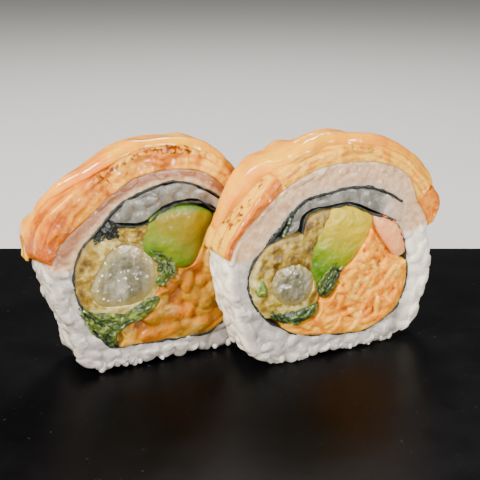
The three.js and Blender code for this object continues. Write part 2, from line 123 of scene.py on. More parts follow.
def outward(line, closed=True):
    """Unit normals of a line in the face's plane, pointing away from its middle."""
    if closed:
        along = np.roll(line, -1, axis=0) - np.roll(line, 1, axis=0)
    else:
        along = np.gradient(line, axis=0)
    out = np.stack([along[:, 1], -along[:, 0]], axis=1)
    out /= np.linalg.norm(out, axis=1, keepdims=True)
    away = ((line - line.mean(axis=0)) * out).sum()
    return out if away > 0 else -out


def grown(line, distance):
    """A closed line moved outwards."""
    return line + outward(line) * distance


def spokes(line, middle):
    """Unit directions from the middle to a line's points."""
    way = line - middle
    return way / np.linalg.norm(way, axis=1, keepdims=True)


def on_face(line, depth=0.0):
    """A line's points as places across, deep and up."""
    return np.stack([line[:, 0], np.full(len(line), depth), line[:, 1]], axis=1)


def round_line(line, middle, angles):
    """The points of a line at the given angles in degrees round the middle, by its radius at each angle."""
    spoke = line - middle
    turn = np.degrees(np.arctan2(spoke[:, 1], spoke[:, 0])) % 360
    order = np.argsort(turn)
    reach = np.interp(np.asarray(angles) % 360, turn[order], np.hypot(*spoke.T)[order], period=360)
    way = np.radians(angles)
    return middle + reach[:, None] * np.stack([np.cos(way), np.sin(way)], axis=1)


def wander(points, size, seed, layers=3):
    """Smooth random field from about -1 to 1: layers of random values on a lattice of that size in mm, each
    layer half as large and half as strong as the last."""
    total, weight = 0, 1.0
    for layer in range(layers):
        table = np.random.default_rng(seed + layer).uniform(-1, 1, (32, 32, 32))
        q = points / (size * 0.5**layer)
        cell = np.floor(q).astype(int)
        share = q - cell
        share = share * share * (3 - 2 * share)
        corner = 0
        for dx in (0, 1):
            for dy in (0, 1):
                for dz in (0, 1):
                    i, j, k = ((cell[..., n] + d) % 32 for n, d in enumerate((dx, dy, dz)))
                    near = [share[..., n] if d else 1 - share[..., n] for n, d in enumerate((dx, dy, dz))]
                    corner = corner + table[i, j, k] * near[0] * near[1] * near[2]
        total = total + corner * weight
        weight *= 0.5
    return total


def ease(value, low, high):
    """Soft step from 0 at low to 1 at high."""
    share = np.clip((value - low) / (high - low), 0, 1)
    return share * share * (3 - 2 * share)


def round_off(room, width):
    """Rises from 0 to 1 over that width as a quarter circle does."""
    return np.sqrt(1 - (1 - np.clip(room / width, 0, 1)) ** 2)


# Meshes.
def add_piece(s, name, points, faces, slot, marks=None, replaces=None):
    """A finished piece of a slice from points in the slice's own places, with its faces turned out. Each mark
    is a value for every point, which the slot's finish reads by its name. replaces names the slice's solid
    whose place the piece takes."""
    name, points = f"{s.name}_{name}", s.put(points)
    sides = [np.asarray(f) for f in faces]
    volume = 0
    for group in sides:
        a = points[group[:, 0]]
        for n in range(1, group.shape[1] - 1):
            volume += np.einsum("ij,ij->", a, np.cross(points[group[:, n]], points[group[:, n + 1]]))
    if volume < 0:
        sides = [group[:, ::-1] for group in sides]
    mesh = bpy.data.meshes.new(name)
    mesh.from_pydata(points.tolist(), [], [side for group in sides for side in group.tolist()])
    mesh.shade_smooth()
    for mark, values in (marks or {}).items():
        data = mesh.attributes.new(mark, "FLOAT", "POINT").data
        data.foreach_set("value", np.ravel(values).astype(np.float32))
    mesh.materials.append(FINISHES[slot])
    piece = bpy.data.objects.new(name, mesh)
    bpy.context.scene.collection.objects.link(piece)
    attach(piece, "root")
    if replaces:
        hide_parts(f"{s.name}_{replaces}")


def grid_faces(rows, columns, wrap_rows=False, wrap_columns=False):
    """The four-sided faces of a grid of points numbered row by row."""
    r = np.arange(rows if wrap_rows else rows - 1)[:, None]
    c = np.arange(columns if wrap_columns else columns - 1)[None, :]
    r2, c2 = (r + 1) % rows, (c + 1) % columns
    quads = [r * columns + c, r * columns + c2, r2 * columns + c2, r2 * columns + c]
    return np.stack(np.broadcast_arrays(*quads), axis=-1).reshape(-1, 4)


def fan(ring, tip):
    """Triangles from each side of a closed ring of points to a tip."""
    return np.stack([ring, np.roll(ring, -1), np.full(len(ring), tip)], axis=1)


def sleeve(inner, outer, front, back, rim, rows):
    """A wall between two lines, run through the slice. Each column's section is a closed loop: over the
    front face from inner to outer line, round a rim, along the outer wall, round the back rim, back over
    the back face and along the inner wall. Returns the loop's points and unit normals, and for each row its
    part and share along it."""
    columns = len(inner)
    front, back, rim = (np.broadcast_to(np.asarray(x, float), columns) for x in (front, back, rim))
    way = outer - inner
    way = way / np.maximum(np.linalg.norm(way, axis=1, keepdims=True), 1e-6)
    shoulder = outer - way * rim[:, None]
    loops, facing, part, share = [], [], [], []

    def row(place, depth, out, ahead, kind, k):
        loops.append(on_face(place, depth))
        facing.append(on_face(way * out, ahead))
        part.append(kind)
        share.append(k)

    face, bend, wall, inside = rows
    for k in np.linspace(0, 1, face, endpoint=False):
        row(inner + (shoulder - inner) * k, front, 0, -1, FRONT, k)
    for k in np.linspace(0, 1, bend, endpoint=False):
        s, c = math.sin(k * math.pi / 2), math.cos(k * math.pi / 2)
        row(shoulder + way * (rim * s)[:, None], front + rim * (1 - c), s, -c, FRONT_RIM, k)
    for k in np.linspace(0, 1, wall, endpoint=False):
        row(outer, front + rim + (back - front - 2 * rim) * k, 1, 0, WALL, k)
    for k in np.linspace(0, 1, bend, endpoint=False):
        s, c = math.sin(k * math.pi / 2), math.cos(k * math.pi / 2)
        row(shoulder + way * (rim * c)[:, None], back - rim * (1 - s), c, s, BACK_RIM, k)
    for k in np.linspace(1, 0, face, endpoint=False):
        row(inner + (shoulder - inner) * k, back, 0, 1, BACK, k)
    for k in np.linspace(1, 0, inside, endpoint=False):
        row(inner, front + (back - front) * k, -1, 0, INSIDE, k)
    return np.array(loops), np.array(facing), np.array(part), np.array(share)


def close_sleeve(points, closed):
    """A sleeve's points as one list with its faces: wrapped both ways, or with a tip at each open end."""
    rows, columns = points.shape[:2]
    flat = points.reshape(-1, 3)
    faces = [grid_faces(rows, columns, wrap_rows=True, wrap_columns=closed)]
    if not closed:
        first, last = np.arange(rows) * columns, np.arange(rows) * columns + columns - 1
        tips = np.stack([points[:, 0].mean(axis=0), points[:, -1].mean(axis=0)])
        faces.append(np.vstack([fan(first, len(flat)), fan(last[::-1], len(flat) + 1)]))
        flat = np.vstack([flat, tips])
    return flat, faces


def with_ends(mark):
    """A mark's values for an open sleeve, with two more for the tips at its ends."""
    return np.concatenate([np.ravel(mark), np.mean(mark[:, [0, -1]], axis=0)])


def disc(outline, middle, rings):
    """Rings of points on the cut face, from near the middle out to the outline with even room between them,
    and each point's share of the way out."""
    share = np.sqrt(np.linspace(0, 1, rings + 1)[1:])
    spread = middle + (outline - middle) * share[:, None, None]
    face = np.stack([spread[..., 0], np.zeros(spread.shape[:2]), spread[..., 1]], axis=-1)
    return face, np.broadcast_to(share[:, None], face.shape[:2])


def slab(face, raised, thick, back_raised):
    """A filling cut off on both faces: a disc's points brought forward by so much, the same disc at the
    back, a wall between their rims and a tip in the middle of each."""
    front, back = face.copy(), face[::-1].copy()
    front[..., 1] -= raised
    back[..., 1] = thick + back_raised[::-1]
    points = np.concatenate([front, back])
    rows, columns = points.shape[:2]
    flat = np.vstack([points.reshape(-1, 3), front[0].mean(axis=0), back[-1].mean(axis=0)])
    first, last = np.arange(columns), np.arange(columns) + (rows - 1) * columns
    faces = [grid_faces(rows, columns, wrap_columns=True)]
    faces.append(np.vstack([fan(first[::-1], len(flat) - 2), fan(last, len(flat) - 1)]))
    return flat, faces


def both_caps(mark):
    """A disc's mark for a slab: on its front, its back and both tips."""
    return np.concatenate([np.ravel(mark), np.ravel(mark[::-1]), [mark[0].mean(), mark[0].mean()]])


def beads(centres, along, size):
    """Many grains in one mesh, each a ball stretched along its own way. size is half the length and half the
    width of each."""
    side = np.cross(along, np.array([0.3, 1, 0.2]))
    side /= np.linalg.norm(side, axis=1, keepdims=True)
    over = np.cross(side, along)
    around = np.linspace(0, 2 * math.pi, BEAD_SIDES, endpoint=False)
    rise = np.linspace(0, math.pi, BEAD_RINGS + 2)[1:-1]
    out = np.stack([np.cos(around), np.sin(around)], axis=-1) * np.sin(rise)[:, None, None]
    out = out.reshape(-1, 2)
    ahead = np.repeat(np.cos(rise), BEAD_SIDES)
    body = side[:, None] * (out[:, :1] * size[:, None, 1:]) + over[:, None] * (out[:, 1:] * size[:, None, 1:])
    body = body + along[:, None] * (ahead[:, None] * size[:, None, :1]) + centres[:, None]
    tips = np.stack([centres + along * size[:, :1], centres - along * size[:, :1]], axis=1)
    flat = np.concatenate([body, tips], axis=1)
    start = (np.arange(len(centres)) * flat.shape[1])[:, None, None]
    quads = (grid_faces(BEAD_RINGS, BEAD_SIDES, wrap_columns=True)[None] + start).reshape(-1, 4)
    first, tip = np.arange(BEAD_SIDES), BEAD_RINGS * BEAD_SIDES
    ends = np.vstack([fan(first[::-1], tip), fan(first + tip - BEAD_SIDES, tip + 1)])
    return flat.reshape(-1, 3), [quads, (ends[None] + start).reshape(-1, 3)]


# Rice grains in relief.
def lay_grains(points, chance, apart, seed):
    """Scattered grain places on a surface, no two nearer than the given distance: numbers of the points."""
    draw = np.random.default_rng(seed)
    flat = points.reshape(-1, 3)
    odds = np.ravel(chance).astype(float)
    picks = draw.choice(len(flat), size=TRIES, p=odds / odds.sum())
    kept = np.full((TRIES + 1, 3), 1e6)
    chosen = []
    for pick in picks:
        if ((kept[: len(chosen) + 1] - flat[pick]) ** 2).sum(axis=1).min() > apart**2:
            kept[len(chosen)] = flat[pick]
            chosen.append(pick)
    return np.array(chosen)


def raise_grains(points, normals, chosen, size, rise, seed, floor, soft, flow=None, top=0.7):
    """How far each point moves out to reach the grains: the far crossing of its normal with each grain, an
    egg shape lying in the surface, all blended by a soft maximum so that grains run into each other. Also a
    shade from -1 to 1 that each grain draws for itself. flow gives the way that the grains lie; without it
    they lie every way. No point moves out by more than top."""
    draw = np.random.default_rng(seed)
    flat, out = points.reshape(-1, 3), normals.reshape(-1, 3)
    total = np.full(len(flat), math.exp(soft * floor))
    shade = np.zeros(len(flat))
    for pick in chosen:
        n = out[pick]
        long_way = np.cross(n, draw.normal(size=3))
        long_way /= np.linalg.norm(long_way)
        if flow:
            long_way = long_way * 0.8 + flow(flat[pick])
            long_way -= n * (long_way @ n)
        long_way = long_way / np.linalg.norm(long_way) + n * draw.normal() * 0.16
        long_way /= np.linalg.norm(long_way)
        cross_way = np.cross(n, long_way)
        cross_way /= np.linalg.norm(cross_way)
        up_way = np.cross(long_way, cross_way)
        axes = np.stack([long_way, cross_way, up_way]) / (np.array(size) * draw.uniform(0.8, 1.2, 3))[:, None]
        centre = flat[pick] + n * (draw.uniform(*rise) - size[2])
        near = np.where(((flat - centre) ** 2).sum(axis=1) < (size[0] * 1.5) ** 2)[0]
        r = (flat[near] - centre) @ axes.T
        d = out[near] @ axes.T
        rd, dd, rr = (r * d).sum(axis=1), (d * d).sum(axis=1), (r * r).sum(axis=1)
        hit = rd * rd - dd * (rr - 1)
        good = hit > 0
        weight = np.exp(soft * np.minimum((-rd[good] + np.sqrt(hit[good])) / dd[good], top))
        total[near[good]] += weight
        shade[near[good]] += weight * draw.uniform(-1, 1)
    return (np.log(total) / soft).reshape(points.shape[:2]), (shade / total).reshape(points.shape[:2])


def teeth(places, seed):
    """How far the rice's lower edge is lifted at these places in mm: rounded grain ends side by side, each
    with its own length, and sharp gaps between them. They run across the front and along the flanks, and
    fade underneath."""
    draw = np.random.default_rng(seed)
    gaps = -30 + np.cumsum(draw.uniform(1.7, 3.8, 34))
    lift = draw.uniform(0, 0.8, 34)

    def row(value):
        k = np.clip(np.searchsorted(gaps, value), 1, 33)
        u = np.clip((2 * value - gaps[k - 1] - gaps[k]) / (gaps[k] - gaps[k - 1]), -1, 1)
        return lift[k] + 0.85 * (1 - np.sqrt(1 - 0.97 * u * u))

    across, depth = places[..., 0], places[..., 1]
    flank = row(depth + 1.3) * ease(np.abs(across), 12.4, 13.8)
    front = row(across + 0.25 * depth) * (1 - ease(depth, 3.5, 7))
    return np.maximum(front, flank) * (1 - ease(places[..., 2], 0.4, 4))


# Materials.
def colour(code):
    """A screen colour such as e8b070 as linear light."""
    values = [int(code[i : i + 2], 16) / 255 for i in (0, 2, 4)]
    return [v / 12.92 if v <= 0.04045 else ((v + 0.055) / 1.055) ** 2.4 for v in values] + [1]


class Finish:
    """A node material: a principled shader with patterns in the object's own coordinates."""

    def __init__(self, name, **settings):
        self.made = bpy.data.materials.new(name)
        self.made.use_nodes = True
        self.tree = self.made.node_tree
        self.shader = self.tree.nodes["Principled BSDF"]
        self.place = self.tree.nodes.new("ShaderNodeTexCoord").outputs["Object"]
        self.height = None
        for socket, value in settings.items():
            self.shader.inputs[socket.replace("_", " ")].default_value = value

    def node(self, kind, **settings):
        """A new node of that kind with its settings."""
        made = self.tree.nodes.new(kind)
        for key, value in settings.items():
            setattr(made, key, value)
        return made

    def link(self, source, target):
        """Joins an output to an input."""
        self.tree.links.new(source, target)

    def noise(self, size, detail=3.0, rough=0.55, stretch=None, warp=0.0):
        """Noise with features of that size in mm, longer along an axis whose stretch is below 1."""
        made = self.node("ShaderNodeTexNoise")
        made.inputs["Scale"].default_value = 1 / (size * MM)
        made.inputs["Detail"].default_value = detail
        made.inputs["Roughness"].default_value = rough
        made.inputs["Distortion"].default_value = warp
        source = self.place
        if stretch:
            mapping = self.node("ShaderNodeMapping")
            mapping.inputs["Scale"].default_value = stretch
            self.link(source, mapping.inputs["Vector"])
            source = mapping.outputs["Vector"]
        self.link(source, made.inputs["Vector"])
        return made.outputs["Fac"]

    def mark(self, name):
        """A value that the mesh carries at its points."""
        return self.node("ShaderNodeAttribute", attribute_name=name).outputs["Fac"]

    def span(self, value, low, high, to_low=0.0, to_high=1.0):
        """A value stretched from one range to another."""
        made = self.node("ShaderNodeMapRange", interpolation_type="SMOOTHSTEP")
        for socket, number in zip(("From Min", "From Max", "To Min", "To Max"), (low, high, to_low, to_high)):
            made.inputs[socket].default_value = number
        self.link(value, made.inputs["Value"])
        return made.outputs["Result"]

    def maths(self, how, a, b):
        """Two values joined by a sum, product or the like."""
        made = self.node("ShaderNodeMath", operation=how)
        for socket, value in zip(made.inputs, (a, b)):
            if isinstance(value, (int, float)):
                socket.default_value = value
            else:
                self.link(value, socket)
        return made.outputs[0]

    def ramp(self, value, stops):
        """Colours along a value."""
        made = self.node("ShaderNodeValToRGB")
        points = made.color_ramp.elements
        while len(points) < len(stops):
            points.new(0.5)
        for point, (position, code) in zip(points, stops):
            point.position = position
            point.color = colour(code)
        self.link(value, made.inputs["Fac"])
        return made.outputs["Color"]

    def blend(self, share, a, b, how="MIX"):
        """Two colours mixed by a share."""
        made = self.node("ShaderNodeMix", data_type="RGBA", blend_type=how)
        if isinstance(share, (int, float)):
            made.inputs["Factor"].default_value = share
        else:
            self.link(share, made.inputs["Factor"])
        for socket, value in ((made.inputs[6], a), (made.inputs[7], b)):
            if isinstance(value, str):
                socket.default_value = colour(value)
            else:
                self.link(value, socket)
        return made.outputs[2]

    def paint(self, source):
        """The colour of the surface."""
        self.link(source, self.shader.inputs["Base Color"])

    def rough(self, source):
        """The roughness of the surface."""
        self.link(source, self.shader.inputs["Roughness"])

    def bump(self, value, depth, strength=1.0):
        """Relief of that depth in mm, over what was there before."""
        made = self.node("ShaderNodeBump")
        made.inputs["Strength"].default_value = strength
        made.inputs["Distance"].default_value = depth * MM
        self.link(value, made.inputs["Height"])
        if self.height:
            self.link(self.height, made.inputs["Normal"])
        self.height = made.outputs["Normal"]
        self.link(self.height, self.shader.inputs["Normal"])

    def film(self, value, depth, strength=1.0):
        """Relief of that depth in mm in the wet film alone, which breaks up its highlights."""
        made = self.node("ShaderNodeBump")
        made.inputs["Strength"].default_value = strength
        made.inputs["Distance"].default_value = depth * MM
        self.link(value, made.inputs["Height"])
        self.link(made.outputs["Normal"], self.shader.inputs["Coat Normal"])

    def flesh(self, weight, reach, radius):
        """Light that wanders under the skin, by so much and so far in mm, further for red than for blue."""
        self.shader.inputs["Subsurface Weight"].default_value = weight
        self.shader.inputs["Subsurface Scale"].default_value = reach * MM
        self.shader.inputs["Subsurface Radius"].default_value = radius


def rice_finish():
    """Moist rice: warm white outside, greyer on the cut, grey-olive between the nori's passes, and from pink
    to brown under the salmon. The cut's grey is partly the rice's own and partly painted shade, the
    grey-olive is painted shade, and painted shade darkens the grooves between its grains."""
    f = Finish("rice", Roughness=0.38, Coat_Weight=0.5, Coat_Roughness=0.12)
    f.flesh(0.6, 1.8, (1.0, 0.88, 0.7))
    cut, blush, crease = f.mark("cut"), f.mark("blush"), f.mark("crease")
    bare = f.ramp(f.noise(2.4), [(0.3, "f4e8d4"), (0.7, "fff6e2")])
    # The cut face's grey: partly the sliced rice's own colour, partly painted shade.
    sliced = f.ramp(f.noise(1.6, 4), [(0.3, "a89f98"), (0.7, "c6beb4")])
    # Painted shade: the rice between the nori's passes is coloured a darker grey-olive.
    inner = f.ramp(f.noise(1.4, 4), [(0.3, "5e5c54"), (0.7, "848176")])
    pink = f.ramp(f.noise(1.2, 4), [(0.3, "b88c66"), (0.7, "e0bc90")])
    base = f.blend(f.span(cut, 0.2, 0.9), bare, sliced)
    base = f.blend(f.span(cut, 1.2, 1.8), base, inner)
    base = f.blend(f.span(blush, 0.1, 0.9), base, pink)
    base = f.blend(f.span(blush, 1.1, 1.9), base, "94552c")
    base = f.blend(f.span(f.mark("tone"), -1.0, 1.0, 0.16, 0.0), base, "c9bda8", "MULTIPLY")
    # Painted shade: darker in the grooves between grains, where the relief is low.
    base = f.blend(f.span(crease, 0.0, 0.6, 0.3, 0.0), base, "c4b4a4", "MULTIPLY")
    f.paint(base)
    f.rough(f.span(f.noise(0.9), 0.3, 0.7, 0.26, 0.5))
    f.bump(f.noise(0.5, 3), 0.12, 0.7)
    f.film(f.noise(0.9, 2), 0.3, 0.9)
    return f.made


def nori_finish():
    """Damp seaweed: near black with green clouds and a fine grain."""
    f = Finish("nori", Roughness=0.45)
    f.paint(f.ramp(f.noise(0.8, 4), [(0.35, "0a0d0a"), (0.62, "1a221b"), (0.8, "394434")]))
    f.bump(f.noise(0.4, 4), 0.12, 0.8)
    return f.made


def shrimp_finish():
    """Translucent grey-white shrimp flesh with fine upright fibres and wet highlights."""
    f = Finish("shrimp", Roughness=0.25, Coat_Weight=1.0, Coat_Roughness=0.04)
    f.flesh(0.85, 3.0, (1.0, 0.9, 0.7))
    fibres = f.noise(1.9, 3, stretch=(1, 1, 0.35), warp=0.4)
    base = f.ramp(fibres, [(0.3, "5a543a"), (0.5, "767056"), (0.75, "aaa48e")])
    f.paint(f.blend(f.span(f.mark("edge"), 0.5, 1.0, 0.0, 0.75), base, "a8944c"))
    f.bump(fibres, 0.15, 0.6)
    f.bump(f.noise(1.1, 1), 0.2, 0.6)
    f.film(f.noise(1.4, 1), 0.7)
    return f.made


def batter_finish():
    """Fried batter soaked by the roll: golden and olive with pale crumbs and pores."""
    f = Finish("batter", Roughness=0.42, Specular_IOR_Level=0.2, Coat_Weight=0.4, Coat_Roughness=0.12)
    f.flesh(0.45, 1.4, (1.0, 0.7, 0.3))
    tone = f.maths("ADD", f.maths("MULTIPLY", f.mark("tone"), 0.45), f.noise(1.5, 3.5))
    base = f.ramp(tone, [(0.3, "563a06"), (0.45, "7c5e12"), (0.6, "a0862a"), (0.95, "e6d698")])
    f.paint(f.blend(f.span(f.mark("edge"), 0.88, 1.0, 0.0, 0.5), base, "b49a58"))
    f.rough(f.span(f.noise(0.6), 0.35, 0.65, 0.25, 0.55))
    f.bump(f.noise(0.8, 4), 0.12, 0.8)
    f.film(f.noise(0.7, 2), 0.35)
    return f.made


def avocado_finish():
    """Avocado flesh: from dark green over yellow-green to yellow by its tone, greyer where it is dull."""
    f = Finish("avocado", Roughness=0.4, Specular_IOR_Level=0.15, Coat_Weight=0.3, Coat_Roughness=0.12)
    f.flesh(0.4, 1.6, (0.9, 1.0, 0.4))
    tone = f.maths("ADD", f.mark("tone"), f.span(f.noise(2.0, 4), 0.2, 0.8, -0.14, 0.14))
    green, yellow = [(0.0, "24400a"), (0.2, "4e7206"), (0.5, "809008")], [(0.8, "aa9606"), (1.0, "c4a804")]
    f.paint(f.blend(f.mark("dull"), f.ramp(tone, green + yellow), "b0b672", "MULTIPLY"))
    f.bump(f.noise(0.8, 4), 0.1, 0.8)
    f.film(f.noise(0.9, 2), 0.3)
    return f.made


def lettuce_finish():
    """Dark green leaf, paler where its tone is high, lightly crinkled."""
    f = Finish("lettuce", Roughness=0.42, Coat_Weight=0.3, Coat_Roughness=0.15)
    f.flesh(0.2, 0.6, (0.6, 1.0, 0.2))
    tone = f.maths("ADD", f.mark("tone"), f.span(f.noise(0.9, 3), 0.3, 0.7, -0.2, 0.3))
    f.paint(f.ramp(tone, [(0.0, "15240a"), (0.35, "2f4410"), (0.65, "55661c"), (1.0, "8c9838")]))
    f.bump(f.noise(0.6, 3), 0.2, 0.8)
    return f.made


def mix_finish():
    """Shredded orange seafood: strands between orange and pale cream, and painted shade: deeper orange in the
    hollows.
    """
    f = Finish("seafood_mix", Roughness=0.35, Specular_IOR_Level=0.1, Coat_Weight=0.28, Coat_Roughness=0.08)
    f.flesh(0.5, 1.6, (1.0, 0.6, 0.25))
    speckle = f.span(f.noise(1.2, 3), 0.3, 0.7, 0.3, 0.7)
    own = f.maths("ADD", f.maths("MULTIPLY", f.mark("tone"), 0.34), speckle)
    base = f.ramp(own, [(0.1, "e07800"), (0.45, "f09608"), (0.7, "f6ac1c"), (1.0, "f8c468")])
    # Painted shade: deeper orange in the hollows of the relief.
    base = f.blend(f.span(f.mark("crease"), 0.1, 0.6, 0.85, 0.0), base, "bc5a00")
    f.paint(f.blend(f.mark("dull"), base, "8e9cb6", "MULTIPLY"))
    f.bump(f.noise(0.5, 3), 0.1, 0.8)
    f.film(f.noise(0.8, 2), 0.4)
    return f.made


def pink_finish():
    """Smooth moist pink fish with soft clouds."""
    f = Finish("pink_fish", Roughness=0.32, Specular_IOR_Level=0.2, Coat_Weight=0.5, Coat_Roughness=0.08)
    f.flesh(0.6, 2.0, (1.0, 0.65, 0.45))
    f.paint(f.ramp(f.noise(2.5, 3), [(0.3, "ea8e50"), (0.7, "f4ac70")]))
    f.bump(f.noise(0.9, 3), 0.1, 0.7)
    return f.made


def salmon_finish():
    """Seared salmon: from deep orange to cream by its tone, with small brown torch marks, and painted shade:
    a dark line along the left slice's front edge under the sauce.
    """
    f = Finish("salmon", Roughness=0.32, Specular_IOR_Level=0.05, Coat_Weight=0.55, Coat_Roughness=0.06)
    f.flesh(0.45, 1.8, (1.0, 0.55, 0.25))
    tone = f.maths("ADD", f.mark("tone"), f.span(f.noise(2.2, 4, warp=0.8), 0.25, 0.75, -0.2, 0.2))
    base = f.ramp(tone, [(0.0, "ac5000"), (0.3, "ce7000"), (0.62, "e28e00"), (1.0, "f6b42c")])
    # Torch marks, and painted shade along the left slice's front edge under the sauce.
    scorch_and_shade = f.maths("MULTIPLY", f.mark("scorch_and_shade"), f.span(f.noise(0.9, 5), 0.42, 0.66))
    f.paint(f.blend(scorch_and_shade, base, "6c3000"))
    f.bump(f.noise(1.2, 4, warp=0.6), 0.25, 0.8)
    f.film(f.noise(1.8, 2, warp=0.5), 0.4, 0.8)
    return f.made


def sauce_finish():
    """Thick glossy orange cream sauce with wide soft clouds of deeper and lighter orange."""
    f = Finish("sauce", Roughness=0.3, Specular_IOR_Level=0.05, Coat_Weight=0.75, Coat_Roughness=0.04)
    f.flesh(0.4, 1.6, (1.0, 0.6, 0.3))
    f.paint(f.ramp(f.noise(8.0, 3), [(0.32, "e07600"), (0.66, "f8ac08")]))
    f.bump(f.noise(3.0, 2), 0.3, 0.6)
    f.film(f.noise(3.2, 2, warp=0.5), 0.5, 0.6)
    return f.made


def board_finish():
    """Satin black stone with faint clouds and a few specks."""
    f = Finish("board", Roughness=0.36, Specular_IOR_Level=0.04)
    specks = f.maths("MULTIPLY", f.span(f.noise(0.9, 2), 0.72, 0.76), 0.35)
    f.paint(f.blend(specks, f.ramp(f.noise(18, 4), [(0.3, "020203"), (0.7, "060607")]), "4a4a4c"))
    f.rough(f.span(f.noise(9, 4), 0.3, 0.7, 0.3, 0.42))
    f.bump(f.noise(1.2, 4), 0.02, 0.6)
    return f.made


FINISHES = {
    "rice": rice_finish(),
    "nori": nori_finish(),
    "shrimp": shrimp_finish(),
    "batter": batter_finish(),
    "avocado": avocado_finish(),
    "lettuce": lettuce_finish(),
    "seafood_mix": mix_finish(),
    "pink_fish": pink_finish(),
    "salmon": salmon_finish(),
    "sauce": sauce_finish(),
    "board": board_finish(),
}


# The pieces.
def add_rice(s, salmon_from, salmon_to, seed):
    """The rice ring round the nori, with grains in relief. Between the two angles in degrees the salmon
    covers it: there it is pressed flat and takes the salmon's colour."""
    outline = s.rice[:: 1 if FINE == 1 else 3]
    angles = np.degrees(np.arctan2(*(outline - s.middle).T[::-1])) % 360
    under = ease(angles, salmon_to - 6, salmon_to + 2) * (1 - ease(angles, salmon_from - 2, salmon_from + 6))
    inner = round_line(s.outer_loop, s.middle, angles)
    outer = outline - outward(outline) * (0.5 - 0.35 * under[:, None])
    rim = 1.9 - 1.2 * under - 0.9 * (1 - ease(outline[:, 1], 0.3, 2.6))
    rows = (int(22 * FINE), int(9 * FINE), int(s.thick / 0.26 * FINE), 4)
    loop, out, part, _ = sleeve(inner, outer, 0.2, s.thick - 0.2, rim, rows)
    shown = (part < INSIDE)[:, None]
    bare = np.isin(part, OUTSIDE)[:, None] * (1 - under)[None]
    turned = np.abs(out[..., 1])
    side = bare * (1 - 0.75 * turned**2)
    cut = np.isin(part, (FRONT, BACK))[:, None] + turned**2 * bare
    # Painted light: towards its right end the cut face takes the bare rice's brighter colour. Painted shade:
    # dull greys the bare flank.
    cut = cut * (1 - 0.7 * ease(loop[..., 0], 13, 19)) + s.dull * bare * (1 - cut)
    loose = lay_grains(loop, side + 1e-9, 2.1, seed)
    pressed = lay_grains(loop, shown * (1.05 - side), 2.2, seed + 1)
    rise, shade = raise_grains(loop, out, loose, LOOSE_GRAIN, (0.16, 0.4), seed + 2, -0.05, 7)
    low_rise, low_shade = raise_grains(loop, out, pressed, PRESSED_GRAIN, (0.04, 0.22), seed + 3, -0.05, 5)
    low_rise = low_rise * (1 - 0.8 * under)
    height = (rise * side + low_rise * (1 - side)) * shown + 0.05 * wander(loop, 1.1, seed + 4)
    body = loop + out * height[..., None]
    body[..., 2] = np.maximum(body[..., 2], SINK) + teeth(loop, seed + 7) * shown
    points, faces = close_sleeve(body, closed=True)
    marks = {
        "cut": cut,
        "blush": s.blush * under * (0.5 + 0.5 * ease(share_out(loop, inner, outer), 0, 0.5)),
        # Painted shade in the grooves between grains: the lower the point, the darker.
        "crease": np.clip(height / 0.4 + 0.3, 0, 1) * side + np.clip(height / 0.2 + 0.5, 0, 1) * (1 - side),
        "tone": shade * side + low_shade * (1 - side),
    }
    add_piece(s, "rice", points, faces, "rice", marks, replaces="rice")


def add_rice_inner(s, layer, seed):
    """The rice between the nori's two passes, given by its inner and outer line, with painted shade: darker
    grey-olive. Towards its end it merges into the ring: flatter, further forward, warmer, its painted shade
    fading."""
    inner, outer = (smooth_line(line, int(240 * FINE)) for line in layer)
    merging = ease(np.linspace(0, 1, len(inner)), 0.7, 0.98)
    rows = (int(18 * FINE), 3, 6, 6)
    loop, out, part, _ = sleeve(inner, outer, 0.3 - 0.22 * merging, s.thick - 0.3, 0.25, rows)
    cut_faces = np.isin(part, (FRONT, BACK))[:, None] * np.ones(len(inner))
    pressed = lay_grains(loop, cut_faces + 1e-9, 1.9, seed)
    rise, shade = raise_grains(loop, out, pressed, INNER_GRAIN, (0.05, 0.32), seed + 1, -0.05, 5)
    shown = np.isin(part, (FRONT, FRONT_RIM, BACK_RIM, BACK))[:, None]
    body = loop + out * (rise * (1 - merging) * shown)[..., None]
    points, faces = close_sleeve(body, closed=False)
    merging = merging * np.ones(loop.shape[:2])
    # Painted shade: a cut mark of 2 colours the whole layer darker grey-olive, easing off as it merges.
    crease = np.clip(rise / 0.3 + 0.3, 0, 1)
    marks = {"cut": 2 - merging, "blush": 0.6 * merging, "crease": crease, "tone": shade}
    marks = {key: with_ends(value) for key, value in marks.items()}
    add_piece(s, "rice_inner", points, faces, "rice", marks)


def share_out(loop, inner, outer):
    """How far out each point of a sleeve lies: 0 at the inner line, 1 at the outer line."""
    place = loop[..., [0, 2]]
    return np.linalg.norm(place - inner, axis=2) / np.maximum(np.linalg.norm(outer - inner, axis=1), 0.1)


